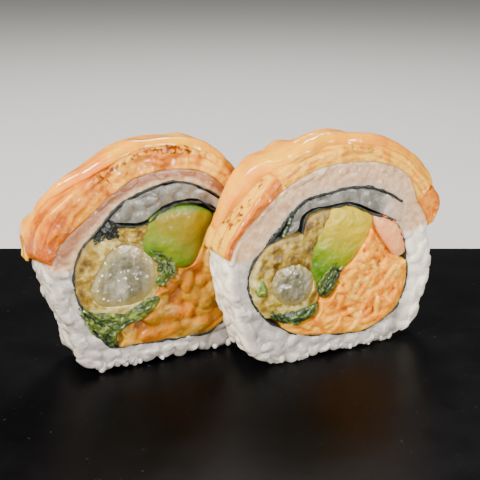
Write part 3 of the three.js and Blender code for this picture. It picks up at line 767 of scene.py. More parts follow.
def add_foot_grains(s, start, end, count, seed):
    """Rice grains along the slice's foot: they stand and lean back into the rice, so that their lower ends
    peek out of the face, or of the flank where the outline rises."""
    draw = np.random.default_rng(seed)
    size = np.stack([draw.uniform(1.6, 2.4, count), draw.uniform(0.75, 1.15, count)], axis=1)
    low = s.rice[(s.rice[:, 1] < 1.6) & (s.rice[:, 0] > start) & (s.rice[:, 0] < end)]
    picks = low[draw.integers(0, len(low), count)]
    side = np.sign(picks[:, 0]) * (picks[:, 1] > 0.3)
    out = np.stack([side, np.where(side == 0, -1, 0), 0 * side], axis=1)
    along = np.array([0, 0, 1]) - 0.9 * out + draw.normal(0, (0.45, 0.2, 0.15), (count, 3))
    along /= np.linalg.norm(along, axis=1, keepdims=True)
    depth = np.where(side == 0, 0, draw.uniform(0.4, s.thick - 0.4, count))
    reach = np.sqrt((along[:, 2] * size[:, 0]) ** 2 + (1 - along[:, 2] ** 2) * size[:, 1] ** 2)
    centres = np.stack([picks[:, 0], depth, reach + SINK + draw.uniform(0, 0.3, count)], axis=1)
    centres -= out * (0.75 * size[:, 0] - draw.uniform(0, 0.4, count))[:, None]
    points, faces = beads(centres, along, size)
    none = np.zeros(len(points))
    tone = np.repeat(draw.uniform(-1, 1, count), len(points) // count)
    marks = {"cut": none + 0.6, "blush": none, "crease": none + 1, "tone": tone}
    add_piece(s, "rice_foot", points, faces, "rice", marks)


def add_nori(s, pocket, seed):
    """The nori: a thin wavy band along its spiral, and a dark lump where its two passes part: partly nori,
    partly painted shade in the gap.
    """
    line = smooth_line(s.nori_points, int(560 * FINE))
    out = outward(line, closed=False)
    place = on_face(line)
    line = line + out * 0.2 * wander(place, 1.9, seed)[:, None]
    half = NORI_HALF + 0.12 * wander(place, 1.0, seed + 1) + 0.04 * ease(place[:, 2], 22, 28)
    half = np.maximum(0.06, half)[:, None]
    front = -0.15 - 0.2 * wander(place, 1.5, seed + 2)
    loop = sleeve(line - out * half, line + out * half, front, s.thick + 0.05, 0.05, (3, 2, 6, 6))[0]
    points, faces = close_sleeve(loop, closed=False)
    add_piece(s, "nori", points, faces, "nori", replaces="nori")
    # Partly nori, partly painted shade: a dark lump fills the gap where the passes part.
    add_lump(
        s, "nori_pocket", pocket, "nori",
        proud=0, rough=0.3, size=0.8, grow=0, seed=seed + 3, replaces=False,
    )


def add_lump(
    s, name, outline, slot, proud, rough, size, grow, seed,
    middle=None, tone=0.0, dull=0.0, over=None, flat=4, replaces=True,
):
    """A filling with a domed and uneven cut face: the dome stands proud and falls off towards its edge, and
    the rest is layered noise of that roughness and size. Its outline is grown a little. It stays low inside
    the outline over, where another filling covers it. A larger flat keeps the dome flatter. tone and dull
    are numbers or functions of the place."""
    line = grown(smooth_line(outline, int(200 * FINE), closed=True), grow)
    centre = np.array(middle) if middle else line.mean(axis=0)
    face, share = disc(line, centre, int(42 * FINE))
    dome = proud * (1 - share**flat) - 0.12
    raised = dome + rough * wander(face, size, seed) * (1 - share**10)
    if over:
        hidden = inside_line(face[..., [0, 2]].reshape(-1, 2), smooth_line(over, 60, closed=True))
        raised = raised - 0.4 * hidden.reshape(share.shape)
    points, faces = slab(face, raised, s.thick, 0.3 * raised)
    marks = {"edge": both_caps(share)}
    for mark, value in (("tone", tone), ("dull", dull)):
        marks[mark] = both_caps(value(face) if callable(value) else value + 0 * share)
    add_piece(s, name, points, faces, slot, marks, replaces=name if replaces else None)


def add_mix(s, others, apart, size, rise, seed, batter_room=0.0, dull=0.0):
    """The shredded mix: strands pressed into each other in relief on its cut faces, lying mostly round the
    middle. It stays low under the other fillings, whose outlines are in others, the batter first and with
    that room round it, and its rim is drawn in under them. dull greys it in patches."""
    over = [smooth_line(line, 160, closed=True) for line in others]
    over[0] = grown(over[0], batter_room)
    centre = s.inside.mean(axis=0)
    line = s.inside[:: 1 if FINE == 1 else 2]
    face, share = disc(line, centre, int(94 * FINE))
    ahead = np.broadcast_to(np.array([0.0, -1, 0]), face.shape)
    spots = lay_grains(face, np.ones(share.shape), apart, seed)

    def around(place):
        """Round the middle at this place, the stronger the further out."""
        return np.array([-(place[2] - centre[1]), 0, place[0] - centre[0]]) / 11

    height, shade = raise_grains(face, ahead, spots, size, rise, seed + 1, -0.4, 6, around, 1.6)
    height = height + 0.3 * wander(face, 4.0, seed + 2, 2) + 0.06 * wander(face, 0.7, seed + 3)
    height = height * (1 - share**14)
    flat = face[..., [0, 2]].reshape(-1, 2)
    room = np.min([room_to(flat, other) for other in over], axis=0).reshape(share.shape)
    covered = 1 - ease(room - 0.9 * ease(share, 0.84, 0.93), 0.1, 0.6)
    tucked = (covered[int(0.93 * len(covered)) :] > 0.5).all(axis=0) * share
    face[..., [0, 2]] = centre + (face[..., [0, 2]] - centre) * (1 - 0.07 * tucked)[..., None]
    front = height - (height + 1.2) * covered
    back = 0.4 * height - (0.4 * height + 0.8) * covered
    points, faces = slab(face, front, s.thick, back)
    marks = {
        "tone": both_caps(shade),
        # Painted shade in the hollows: the lower the relief, the deeper the orange.
        "crease": both_caps(np.clip(height / 0.7 + 0.5, 0, 1)),
        "dull": both_caps(dull * np.clip(0.75 + 0.4 * wander(face, 4.5, seed + 4, 2), 0, 1)),
    }
    add_piece(s, "mix", points, faces, "seafood_mix", marks, replaces="seafood_mix")


def room_to(places, line):
    """Each place's distance to a closed line in mm, below zero inside it."""
    gap = np.sqrt(((places[:, None] - line[None]) ** 2).sum(axis=2).min(axis=1))
    return np.where(inside_line(places, line), -gap, gap)


def inside_line(places, line):
    """Whether each place lies inside a closed line: a ray to the right crosses an odd number of its sides."""
    x, y = places[:, :1], places[:, 1:]
    a, b = line, np.roll(line, -1, axis=0)
    spans = (a[:, 1] > y) != (b[:, 1] > y)
    rise = np.where(b[:, 1] == a[:, 1], 1e-9, b[:, 1] - a[:, 1])
    cross = a[:, 0] + (y - a[:, 1]) / rise * (b[:, 0] - a[:, 0])
    return (np.sum(spans & (x < cross), axis=1) % 2) == 1


def add_leaves(s, name, leaves, seed):
    """Folded leaves: thin sheets on edge, each with its own tone along its own path in the face, wavy and
    uneven at the cut."""
    all_points, quads, tips, tones, count = [], [], [], [], 0
    for number, (tone, path) in enumerate(leaves):
        line = smooth_line(path, int(90 * FINE))
        place = on_face(line, 9 * number)
        out = outward(line, closed=False)
        line = line + out * 0.35 * wander(place, 1.2, seed)[:, None]
        half = (LEAF_HALF + 0.1 * wander(place, 0.9, seed + 1))[:, None]
        front = -0.8 + 0.5 * wander(place, 1.4, seed + 2)
        loop = sleeve(line - out * half, line + out * half, front, s.thick + 0.1, 0.12, (3, 3, 8, 8))[0]
        points, faces = close_sleeve(loop, closed=False)
        all_points.append(points)
        quads.append(faces[0] + count)
        tips.append(faces[1] + count)
        tones.append(tone + 0.3 * ease(-points[:, 1], 0.5, 1.5))
        count += len(points)
    points, faces = np.vstack(all_points), [np.vstack(quads), np.vstack(tips)]
    marks = {"tone": np.concatenate(tones)}
    add_piece(s, f"{name}_leaf", points, faces, "lettuce", marks)


def add_salmon(s, name, topping, start, end, tone, scorch_and_shade, ridges, seed, hang=0.0, lumpy=0.16):
    """A seared slice laid over the rice between two angles in degrees: its outer wall swells in ridges
    along the slice and in lumps, its ends thin out, and the back of its start hangs lower by so much. tone
    and scorch are functions of the length along the slice, the place and whether it is on the wall; scorch
    holds torch marks and painted shade."""
    span = abs(start - end)
    angles = np.linspace(start, end, max(24, int(span * 2.6 * FINE)))
    inner = round_line(s.rice, s.middle, angles)
    outer = round_line(topping, s.middle, angles)
    way = spokes(outer, s.middle)
    thickness = np.maximum(np.linalg.norm(outer - inner, axis=1), 0.9)
    thin = round_off(np.minimum(angles.max() - angles, angles - angles.min()), 3)
    inner = inner - way * 0.35
    outer = inner + way * (0.35 + 0.25 + (thickness - 0.25) * thin)[:, None]
    rim = np.minimum(1.2, 0.55 * thickness)
    rows = (int(14 * FINE), 7, int(50 * FINE), 4)
    loop, out, part, share = sleeve(inner, outer, 0.05, s.thick - 0.05, rim, rows)
    along = np.broadcast_to(np.radians(angles) * TOPPING_REACH, loop.shape[:2])
    depth = loop[..., 1]
    wall = np.isin(part, OUTSIDE)[:, None]
    rough = lumpy * wander(loop, 2.2, seed) + 0.05 * wander(loop, 0.8, seed + 1)
    swell = wall * ridges(along, depth) + rough
    body = loop + out * (swell * (part < INSIDE)[:, None] * thin)[..., None]
    drop = s.sunk_by * s.falls(angles, depth) * (wall + share[:, None] * (part == BACK)[:, None])
    droop = hang * np.clip(1 - (start - angles) / 25, 0, 1) ** 2 * depth / s.thick
    tangent = np.stack([-way[:, 1], way[:, 0]], axis=1)
    body[..., [0, 2]] += tangent * droop[..., None] - way * drop[..., None]
    points, faces = close_sleeve(body, closed=False)
    marks = {"tone": with_ends(tone(along, loop, wall)), "scorch_and_shade": with_ends(scorch_and_shade(along, loop, wall))}
    add_piece(s, name, points, faces, "salmon", marks, replaces=name)


def add_sauce(s, topping, start, end, front, back, thick, kept, seed):
    """Sauce along the top: its thickness rises from nothing at its ends and edges to a round swell, with
    soft lumps. front, back and thick are given at angles in degrees and joined smoothly; kept is the
    thickness's share that is left at the back where the topping is sunk."""
    angles = np.linspace(start, end, int(280 * FINE))

    def joined(table):
        """The values between the given angles: straight lines, rounded by the mean of nine neighbours."""
        at, values = np.array(table, float).T
        order = np.argsort(at)
        straight = np.interp(angles, at[order], values[order])
        return np.convolve(np.pad(straight, 4, mode="edge"), np.ones(9) / 9, mode="valid")

    base = round_line(topping, s.middle, angles)
    way = spokes(base, s.middle)
    thin = round_off(np.minimum(abs(angles - start), abs(angles - end)), 7)
    height = joined(thick) * thin
    rim = np.minimum(height + 0.35, 1.8) * 0.95
    inner, outer = base - way * 0.45, base + way * height[:, None]
    rows = (4, 11, int(36 * FINE), 4)
    loop, out, part, _ = sleeve(inner, outer, joined(front), joined(back), rim, rows)
    wall = np.isin(part, OUTSIDE)[:, None]
    lumps = (0.4 * wander(loop, 5.5, seed, 2) + 0.12 * wander(loop, 2.2, seed + 5, 2)) * wall * thin
    body = loop + out * lumps[..., None]
    falls = s.falls(angles, loop[..., 1])
    drop = s.sunk_by * falls + (1 - kept) * falls * height * wall
    body[..., [0, 2]] -= way * drop[..., None]
    points, faces = close_sleeve(body, closed=False)
    add_piece(s, "sauce", points, faces, "sauce", replaces="sauce")


def fat_layers(s, loop, close):
    """Wavy fat lines that run round the slice's middle, close together by so much."""
    radius = np.linalg.norm(loop[..., [0, 2]] - s.middle, axis=-1)
    return np.sin(close * radius + 1.5 * wander(loop, 4, 10))


# The right slice: outlines on its cut face, across and up in mm. A leaf is its tone and its path.
RIGHT_RICE = [
    (-14.4, 0), (-18, 2.4), (-20.2, 8.8), (-22.6, 17.5), (-21.8, 24.8), (-16.4, 31), (-10, 35.8),
    (-3.7, 38.2), (4, 38.6), (11.8, 37.2), (17.2, 33.8), (19.4, 28.8), (22.4, 23.5), (24, 14.5),
    (22.6, 7.6), (20.4, 2), (16, 0),
]
RIGHT_NORI = [
    (-7.2, 25.8), (-5.9, 29.4), (-0.5, 30), (3.6, 29.8), (8.9, 27.2), (14.3, 24.4), (16.6, 18.5),
    (17.1, 12.5), (14.7, 6.6), (8, 3.4), (0, 4), (-8, 5.6), (-15.2, 10.4), (-18.5, 16), (-17.8, 21),
    (-14, 25), (-10.6, 28.6), (-7.4, 31.8), (-1, 33), (5.2, 33.2), (10.2, 32), (15.2, 28.8),
]
RIGHT_TOPPING = [
    (-21.8, 24), (-20.8, 27.4), (-17.8, 31.8), (-13.8, 36.2), (-9.6, 39.2), (-3.4, 41.2), (2, 41.6),
    (6.4, 41), (10.8, 40), (15, 38.2), (19.2, 35.4), (22.8, 31.6), (25, 27.6), (24, 24.4),
]
RIGHT_SHRIMP = [
    (-13.6, 16), (-12.6, 18.9), (-9.5, 19.9), (-6, 18.6), (-4.6, 15.6), (-5.6, 12.8), (-8.2, 11.8),
    (-11.8, 13),
]
RIGHT_BATTER = [
    (-18.4, 17), (-17.2, 20.8), (-14, 24), (-10.6, 25), (-7, 25.4), (-6, 27.6), (-3.6, 29.1), (-0.3, 28.9),
    (-2.2, 27), (-4.3, 23.6), (-4.7, 18.6), (-3.5, 14), (-4.2, 11.2), (-7.4, 10.2), (-12, 10),
    (-15.6, 10.8), (-17.8, 14),
]
RIGHT_AVOCADO = [
    (-0.2, 29.6), (3.6, 29.4), (8, 27), (7.6, 24), (5.2, 20.4), (2.4, 17.8), (-1, 16.6), (-3.8, 14.4),
    (-4.9, 18), (-4.4, 23.4), (-2.4, 27.2),
]
RIGHT_PINK = [(8.6, 27), (12, 26.4), (15.6, 23.4), (16.8, 18.6), (14.8, 17.6), (12, 20.4), (9.6, 24)]
RIGHT_SPOT = [(-16.6, 17.2), (-15.6, 17.8), (-14.8, 16.6), (-15, 14.8), (-16.2, 14.7), (-16.9, 15.8)]
RIGHT_LOW = [(-14.2, 10.6), (-10.8, 8.4), (-6.8, 7.9), (-3.6, 9.2), (-3.4, 11), (-7, 10.6), (-12, 10.8)]
RIGHT_FOLDS = [(0.2, 19.4), (1.5, 17.8), (1, 15), (-1.6, 12), (-3.4, 13.6), (-3.4, 16.2), (-1.6, 18.4)]
RIGHT_LAYER = [
    [
        (-10.4, 26), (-8.4, 26.6), (-6.6, 29.8), (-0.6, 30.5), (3.8, 30.3), (9.2, 27.8), (12.4, 26.2),
        (14.9, 24.9),
    ],
    [
        (-10.8, 26.8), (-9.6, 28.4), (-7.2, 31), (-0.8, 32.6), (5.2, 32.8), (10, 31.6), (13, 30.2),
        (15.6, 28.4),
    ],
]
RIGHT_POCKET = [
    (-14.8, 24.6), (-12.8, 25), (-11, 25.8), (-10.4, 27.2), (-9.4, 28.6), (-8.4, 30.2), (-9.2, 30.6),
    (-10.8, 29), (-12.4, 27.4), (-14, 25.8),
]
RIGHT_LOW_LEAVES = [
    (0.3, [(-14, 11.6), (-12, 10), (-9.4, 9.4), (-6.6, 9.4), (-4.2, 10.8)]),
    (0.1, [(-13.4, 10.6), (-11, 9), (-8, 8.4), (-5, 9.4)]),
]
RIGHT_MIDDLE_LEAVES = [
    (0.3, [(-3.2, 13.4), (-1.8, 15.4), (-0.6, 17.4), (0.4, 18.8)]),
    (0.1, [(-2.2, 12.8), (-0.8, 14.4), (0.6, 16.2), (1.4, 18.2)]),
    (0.5, [(-3.4, 15), (-2.2, 17), (-1, 18.6)]),
]
RIGHT_POCKET_LEAVES = [
    (-0.1, [(-11.8, 26), (-10.8, 27.4), (-9.8, 29.2)]),
    (0.15, [(-11.2, 26.2), (-10.2, 28.4)]),
]
right = Slice(
    "right", place=(18, -3), thick=11, lean=0.8, rice=RIGHT_RICE, nori=RIGHT_NORI, loop=5, closes=15,
    sunk=(114, 20), sunk_by=1.4, blush=1.0, dull=0.0,
)

# The left slice: outlines on its cut face, across and up in mm. A leaf is its tone and its path.
LEFT_RICE = [
    (-14, 0), (-17.4, 2.2), (-18.4, 7.4), (-21.2, 14.5), (-22.4, 22), (-20, 26.8), (-15.6, 30.4),
    (-11.4, 34), (-6.4, 37), (0, 38.2), (6.4, 37.6), (11, 35.2), (15.6, 29.4), (20, 22.4), (22, 13.6),
    (21, 6.4), (17.6, 1.2), (12, 0),
]
LEFT_NORI = [
    (-10, 26.2), (-10.4, 28.8), (-7.4, 28.2), (-3.8, 28), (-0.6, 30), (3.6, 31.2), (7, 30.8), (11.4, 27.6),
    (14.6, 22), (15.8, 15), (14.2, 7.6), (9.6, 4.2), (2, 4), (-6, 4.3), (-10.8, 4.6), (-15, 9.4),
    (-17.2, 15.2), (-17.8, 20.2), (-16.2, 24.8), (-12.4, 28.8), (-8.4, 32.4), (-1.4, 35), (4, 35.2),
    (9.2, 32.8), (12, 30.6),
]
LEFT_TOPPING = [
    (-23.8, 23), (-23.4, 28), (-21.2, 32.2), (-17.6, 35.4), (-13.6, 37.8), (-9.8, 40.1), (-6, 41.7),
    (-2.4, 42.2), (2.4, 42), (7.6, 40.8), (11.6, 38.6), (15.4, 34), (19.8, 27.6), (20.8, 25),
]
LEFT_SHRIMP = [
    (-14.8, 16.8), (-13.2, 20.4), (-10.8, 23.8), (-7.6, 24.6), (-3.6, 22.4), (-2, 18.8), (-2.6, 15.2),
    (-5.4, 13), (-9.6, 12.8), (-13.4, 13.8),
]
LEFT_BATTER = [
    (-17.6, 18.6), (-16.6, 22.8), (-14.2, 26.2), (-11, 26.6), (-7, 26.2), (-3.2, 23.8), (-1, 20.6),
    (-1, 16.4), (-3, 13.2), (-6.6, 11), (-11, 11.8), (-15.2, 12.9), (-17.2, 15.6),
]
LEFT_FLAKE = [(-9.4, 27.6), (-6, 27.4), (-3.2, 27.4), (-3.2, 26.6), (-4.8, 25), (-7.4, 25), (-9.2, 26)]
LEFT_AVOCADO = [
    (-1.2, 29.8), (2, 30.4), (6.4, 30), (9.8, 27.8), (8.4, 24.8), (7, 21.4), (5.2, 18.8), (2.4, 18.8),
    (-1.4, 20.4), (-4.4, 22.6), (-4.3, 25.4), (-3, 28),
]
LEFT_FOLD = [(-14, 26.4), (-11, 26.2), (-9, 26.4), (-9.2, 28.4), (-10.6, 29.6), (-12, 28.8)]
LEFT_LOW = [
    (-17.4, 14.4), (-16.4, 11.2), (-13.6, 7.2), (-11, 4.9), (-10, 7.4), (-7.4, 9), (-4.6, 9.8),
    (-1.6, 12.6), (-3.6, 13.2), (-6.6, 10.6), (-11, 11.4), (-15.4, 12.6),
]
LEFT_FOLDS = [(-3, 22.8), (-0.8, 22.6), (2, 19.8), (2, 17.6), (0.2, 15.8), (-1.6, 15.6), (-1.6, 20)]
LEFT_LAYER = [
    [
        (-9.6, 29.2), (-7, 28.7), (-4, 28.6), (-1, 30.5), (3.6, 31.7), (7.4, 31.3), (11.9, 28.2),
        (13.6, 26),
    ],
    [(-11.4, 29), (-8.2, 31.9), (-1.4, 34.5), (1.6, 34.7), (4, 34.7), (8.8, 32.5), (12.6, 30)],
]
LEFT_POCKET = [(-15, 25), (-12.6, 25.8), (-9.6, 26), (-9, 28), (-10.2, 29.6), (-12.4, 28)]
LEFT_LOW_LEAVES = [
    (0.3, [(-17, 14), (-16, 11), (-13.8, 8.6), (-11.6, 6.4), (-10.4, 5.4)]),
    (0.1, [(-16.4, 13.4), (-14.6, 11.4), (-12.4, 9.6), (-9.6, 8.6), (-7, 9.6)]),
    (0.4, [(-14.6, 12), (-12, 10.6), (-9, 10.4), (-6, 10.4), (-3.4, 12)]),
]
LEFT_MIDDLE_LEAVES = [
    (0.0, [(-3, 22.8), (-0.8, 21.6), (0.6, 19.4), (1.6, 17.8)]),
    (0.2, [(-1.6, 20.8), (-0.2, 18.8), (0.2, 16.6), (-1.2, 15.8)]),
]
left = Slice(
    "left", place=(-14.1, -5.8), thick=12.4, lean=0, rice=LEFT_RICE, nori=LEFT_NORI, loop=8, closes=18,
    # Painted shade: the left slice's bare rice flank is greyed by 0.65.
    sunk=(160, 20), sunk_by=1.8, blush=1.7, dull=0.65,
)


def add_right():
    """The right slice, from its rice to its sauce."""
    s = right
    add_rice(s, 166, 18, 11)
    add_rice_inner(s, RIGHT_LAYER, 16)
    add_foot_grains(s, -19, 21, 9, 13)
    add_nori(s, RIGHT_POCKET, 21)

    def golden(p):
        """Batter paler at its left edge and its foot, darker near its top."""
        left_edge = ease(-15 - p[..., 0], 0, 2.4)
        foot = ease(13 - p[..., 2], 0, 2)
        near_top = ease(p[..., 2], 19, 23)
        return 0.06 + 0.25 * wander(p, 1.6, 5) + (0.5 * left_edge + 0.3 * foot - 0.1 * near_top)

    def ripe(p):
        """Avocado green at its lower left, turning yellow towards its upper right."""
        return 0.15 + 0.85 * ease((p[..., 0] + 4) * 0.45 + (p[..., 2] - 14) * 0.8, 2, 13)

    def leafy(p):
        """Dark green with paler patches."""
        return 0.25 + 0.3 * wander(p, 1.2, 45)

    add_lump(
        s, "batter", RIGHT_BATTER, "batter",
        proud=0.32, rough=0.2, size=1.5, grow=0.25, seed=31, middle=(-9, 17.6), tone=golden,
        over=RIGHT_SHRIMP,
    )
    add_lump(
        s, "shrimp", RIGHT_SHRIMP, "shrimp",
        proud=0.6, rough=0.15, size=1.5, grow=0.35, seed=32, flat=5,
    )
    add_lump(
        s, "lettuce_in_batter", RIGHT_SPOT, "lettuce",
        proud=0.9, rough=0.2, size=0.9, grow=0.2, seed=33, tone=0.75,
    )
    add_lump(
        s, "avocado", RIGHT_AVOCADO, "avocado",
        proud=0.6, rough=0.14, size=2.2, grow=0.25, seed=34, middle=(1.5, 23.5), tone=ripe,
    )
    add_lump(
        s, "pink_fish", RIGHT_PINK, "pink_fish",
        proud=0.5, rough=0.1, size=2.4, grow=-0.15, seed=35, middle=(12.8, 22.6),
    )
    add_lump(
        s, "lettuce_low", RIGHT_LOW, "lettuce",
        proud=0.4, rough=0.24, size=1.5, grow=0.05, seed=45, middle=(-8.4, 9.5), tone=leafy,
    )
    add_lump(
        s, "lettuce_middle", RIGHT_FOLDS, "lettuce",
        proud=0.35, rough=0.24, size=1.5, grow=0.15, seed=46, middle=(-1, 15.6), tone=leafy,
    )
    add_leaves(s, "lettuce_low", RIGHT_LOW_LEAVES, 41)
    add_leaves(s, "lettuce_middle", RIGHT_MIDDLE_LEAVES, 42)
    add_leaves(s, "pocket", RIGHT_POCKET_LEAVES, 49)
    others = (RIGHT_BATTER, RIGHT_SHRIMP, RIGHT_AVOCADO, RIGHT_PINK, RIGHT_LOW, RIGHT_FOLDS)
    add_mix(s, others, apart=1.1, size=(2.4, 0.8, 0.7), rise=(0.1, 0.65), seed=51, batter_room=0.5)

    def fat(along, depth):
        """Fine ridges: two rows of waves that cross."""
        return 0.12 * np.sin(depth * 1.9 + along * 0.25) + 0.08 * np.sin(along * 0.5 - depth * 2.6)

    def cream(along, loop, wall):
        """Cream on the wall, orange along its front edge and deep orange on the cut."""
        return np.where(wall, 1.0 - 0.75 * ease(1.4 - loop[..., 1], 0, 1.3), 0.1)

    def orange(along, loop, wall):
        """Orange with paler fat lines and patches."""
        return 0.9 + 0.22 * fat_layers(s, loop, 5.5) + 0.28 * wander(loop, 1.8, 9)

    def deep(along, loop, wall):
        """Deep orange with soft patches."""
        return 0.36 + 0.15 * wander(loop, 2.0, 9)

    def torch_and_shade(along, loop, wall):
        """Many torch marks."""
        return 1.3 * ease(wander(loop, 3.6, 7, 2), 0.15, 0.6) * wall

    def few(along, loop, wall):
        """A few fainter torch marks."""
        return 0.7 * ease(wander(loop, 2.6, 17, 2), 0.35, 0.8) * wall

    def none(along, loop, wall):
        """No torch marks."""
        return 0 * loop[..., 1]

    topping = smooth_line(RIGHT_TOPPING, 400)
    add_salmon(s, "salmon_left", topping, 167, 123, cream, torch_and_shade, fat, 61, hang=0.8)
    add_salmon(s, "salmon_top", topping, 126, 31, orange, few, fat, 62)
    add_salmon(s, "salmon_end", topping, 33, 15, deep, none, fat, 63)
    add_sauce(
        s, topping, 162, 29,
        front=[
            (162, 7.5), (150, 6.5), (136, 5.0), (124, 3.4), (114, 0.4), (104, 0.3), (96, 1.5), (80, 1.3),
            (60, 1.2), (29, 2),
        ],
        back=[(162, 10.6), (29, 10.8)],
        thick=[
            (162, 0.9), (150, 2.0), (138, 2.7), (126, 2.7), (118, 1.7), (110, 2.3), (100, 2.3), (88, 1.8),
            (60, 1.9), (29, 1.6),
        ],
        kept=0.2,
        seed=71,
    )


def add_left():
    """The left slice, from its rice to its sauce."""
    s = left
    add_rice(s, 165, 22, 12)
    add_rice_inner(s, LEFT_LAYER, 17)
    add_foot_grains(s, -18, 18, 8, 14)
    add_nori(s, LEFT_POCKET, 22)

    def golden(p):
        """Batter paler towards its foot, darker at its left edge."""
        foot = ease(15.5 - p[..., 2], 0, 4)
        left_edge = ease(-13.5 - p[..., 0], 0, 2)
        return 0.12 + 0.15 * wander(p, 1.8, 6) + 0.5 * foot - 0.15 * left_edge

    def ripe(p):
        """Green at its lower left, turning yellow towards its upper right, with dark skin along its top."""
        skin = ease(p[..., 2] + 0.03 * (p[..., 0] - 2.5) ** 2, 29, 30.3)
        return 0.85 * ease((p[..., 0] + 4) * 0.55 + (p[..., 2] - 18) * 0.75, 1, 13) + 0.12 - 0.8 * skin

    def leafy(p):
        """Green with paler patches."""
        return 0.45 + 0.3 * wander(p, 1.2, 47)

    add_lump(
        s, "batter", LEFT_BATTER, "batter",
        proud=0.34, rough=0.16, size=1.8, grow=0.3, seed=36, tone=golden, over=LEFT_SHRIMP,
    )
    add_lump(
        s, "shrimp", LEFT_SHRIMP, "shrimp",
        proud=0.55, rough=0.08, size=2.2, grow=0.35, seed=37, flat=5,
    )
    add_lump(
        s, "batter_flake", LEFT_FLAKE, "batter",
        proud=0.4, rough=0.3, size=1.2, grow=0.2, seed=38, tone=0.1,
    )
    add_lump(s, "nori_fold", LEFT_FOLD, "nori", proud=0.6, rough=0.6, size=0.9, grow=0.2, seed=39)
    add_lump(
        s, "avocado", LEFT_AVOCADO, "avocado",
        proud=0.6, rough=0.1, size=2.6, grow=0.15, seed=40, middle=(2.4, 24.8), tone=ripe, dull=ripe,
    )
    add_lump(
        s, "lettuce_low", LEFT_LOW, "lettuce",
        proud=0.45, rough=0.4, size=1.0, grow=0.35, seed=47, middle=(-11.6, 9.4), tone=leafy,
    )
    add_lump(
        s, "lettuce_middle", LEFT_FOLDS, "lettuce",
        proud=0.4, rough=0.35, size=1.1, grow=0.3, seed=48, middle=(-0.2, 19.6), tone=leafy,
    )
    add_leaves(s, "lettuce_low", LEFT_LOW_LEAVES, 43)
    add_leaves(s, "lettuce_middle", LEFT_MIDDLE_LEAVES, 44)
    others = (LEFT_BATTER, LEFT_SHRIMP, LEFT_AVOCADO, LEFT_FLAKE, LEFT_LOW, LEFT_FOLDS)
    add_mix(s, others, apart=2.2, size=(3.2, 1.9, 1.3), rise=(0.0, 0.8), seed=52, dull=0.9)

    def flow(along, depth):
        """Waves that run slantwise over the slice and bend."""
        return np.sin(depth * 1.3 - along * 0.24 + 0.9 * np.sin(along * 0.3))

    def fold(along, depth):
        """Low waves and uneven patches."""
        patch = wander(np.stack([along, depth, 0 * along], axis=-1), 4.2, 66, 2)
        return 0.24 * flow(along, depth) + 0.3 * patch

    def strips(along, loop, wall):
        """Deep orange at the left and low down, paler over the top, with waves, fat lines and patches."""
        over_top = 0.32 * ease(loop[..., 0], -13, -5)
        low_down = 0.4 * ease(28 - loop[..., 2], 0, 4)
        waves = 0.3 * flow(along, loop[..., 1])
        lines = 0.18 * fat_layers(s, loop, 4.5)
        return 0.32 + over_top + waves + lines + 0.25 * wander(loop, 1.8, 8) - low_down

    def torch_and_shade(along, loop, wall):
        """Torch marks here and there, and painted shade: a dark line along the front edge under the sauce."""
        spots = 0.6 * ease(wander(loop, 3.0, 3, 2), 0.4, 0.8)
        # Painted shade: a dark line along the front edge, just under the sauce.
        edge = 1.2 * ease(along, 24, 30) * (1 - ease(along, 44, 47)) * (1 - ease(loop[..., 1], 0.9, 1.9))
        return (spots + edge) * wall

    topping = smooth_line(LEFT_TOPPING, 400)
    add_salmon(s, "salmon_left", topping, 165, 117, strips, torch_and_shade, fold, 64, hang=2.4)
    add_salmon(s, "salmon_top", topping, 121, 21, strips, torch_and_shade, fold, 65, lumpy=0.34)
    add_sauce(
        s, topping, 170, 38,
        front=[
            (170, 8.6), (162, 8), (150, 6.6), (138, 4.4), (124, 1.8), (112, 0.7), (90, 0.5), (60, 0.7),
            (38, 2),
        ],
        back=[(170, 12.2), (38, 12.2)],
        thick=[
            (170, 0.2), (162, 0.5), (156, 0.9), (148, 1.5), (130, 1.7), (110, 1.5), (80, 1.5), (60, 1.5),
            (38, 1.2),
        ],
        kept=0.2,
        seed=72,
    )


add_right()
add_left()
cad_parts["board"].data.materials.clear()
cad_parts["board"].data.materials.append(FINISHES["board"])

# Floor, light and camera, in metres and watts.
FLOOR_HALF = 6
LOOK_DOWN = 19  # degrees by which the camera looks down, as in the photograph
CAMERA_PLACE = (0, -0.182376, 0.091486)  # worked out from the photograph's view of the slices
LENS = 75  # focal length in mm on a sensor 36 mm wide

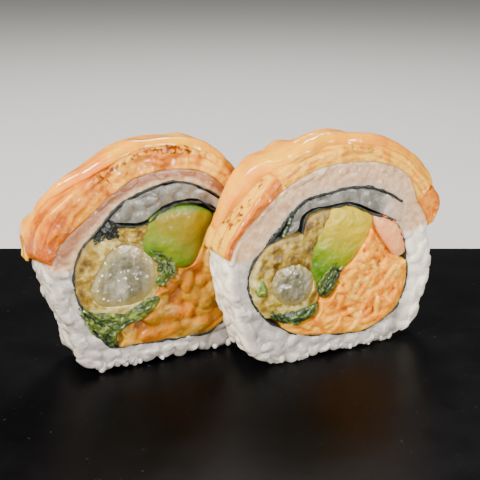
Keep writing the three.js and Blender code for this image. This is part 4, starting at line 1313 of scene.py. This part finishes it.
around_floor = [(-1, -1), (1, -1), (1, 1), (-1, 1)]
floor_mesh = bpy.data.meshes.new("floor")
floor_mesh.from_pydata([(FLOOR_HALF * x, FLOOR_HALF * y, 0) for x, y in around_floor], [], [(0, 1, 2, 3)])
floor = bpy.data.objects.new("floor", floor_mesh)
bpy.context.scene.collection.objects.link(floor)
pale = Finish("floor", Roughness=0.9, Base_Color=colour("c8c7c3"))
floor_mesh.materials.append(pale.made)


def add_light(name, place, target, size, power, tint=(1, 1, 1)):
    """A square soft light that looks at a point."""
    lamp = bpy.data.lights.new(name, "AREA")
    lamp.size, lamp.energy, lamp.color = size, power, tint
    holder = bpy.data.objects.new(name, lamp)
    bpy.context.scene.collection.objects.link(holder)
    way = np.array(target) - np.array(place)
    flat = math.hypot(way[0], way[1])
    holder.location = place
    holder.rotation_euler = (math.atan2(flat, -way[2]), 0, math.atan2(-way[0], way[1]))


add_light("key", (-0.34, -0.34, 0.4), (0, 0, 0.03), size=0.14, power=8.0, tint=(1.0, 0.95, 0.88))
add_light("fill", (-0.02, -0.6, 0.2), (0, 0, 0.03), size=0.45, power=1.7, tint=(1.0, 0.97, 0.93))
add_light("top", (0.02, 0.3, 0.4), (0, 0, 0.04), size=0.14, power=1.8)
add_light("spark", (-0.1, -0.2, 0.4), (0, 0, 0.04), size=0.04, power=1.2)
add_light("glint", (0.4, -0.36, 0.12), (0, 0, 0.03), size=0.12, power=2.6)

world = bpy.data.worlds.new("studio")
world.use_nodes = True
soft_room = world.node_tree.nodes["Background"].inputs
soft_room["Color"].default_value = colour("e6e6e6")
soft_room["Strength"].default_value = 0.24
bpy.context.scene.world = world

camera_data = bpy.data.cameras.new("camera")
camera_data.sensor_width, camera_data.lens = 36, LENS
camera_data.clip_start = 0.005
camera = bpy.data.objects.new("camera", camera_data)
bpy.context.scene.collection.objects.link(camera)
camera.location = CAMERA_PLACE
camera.rotation_euler = (math.radians(90 - LOOK_DOWN), 0, 0)
bpy.context.scene.camera = camera
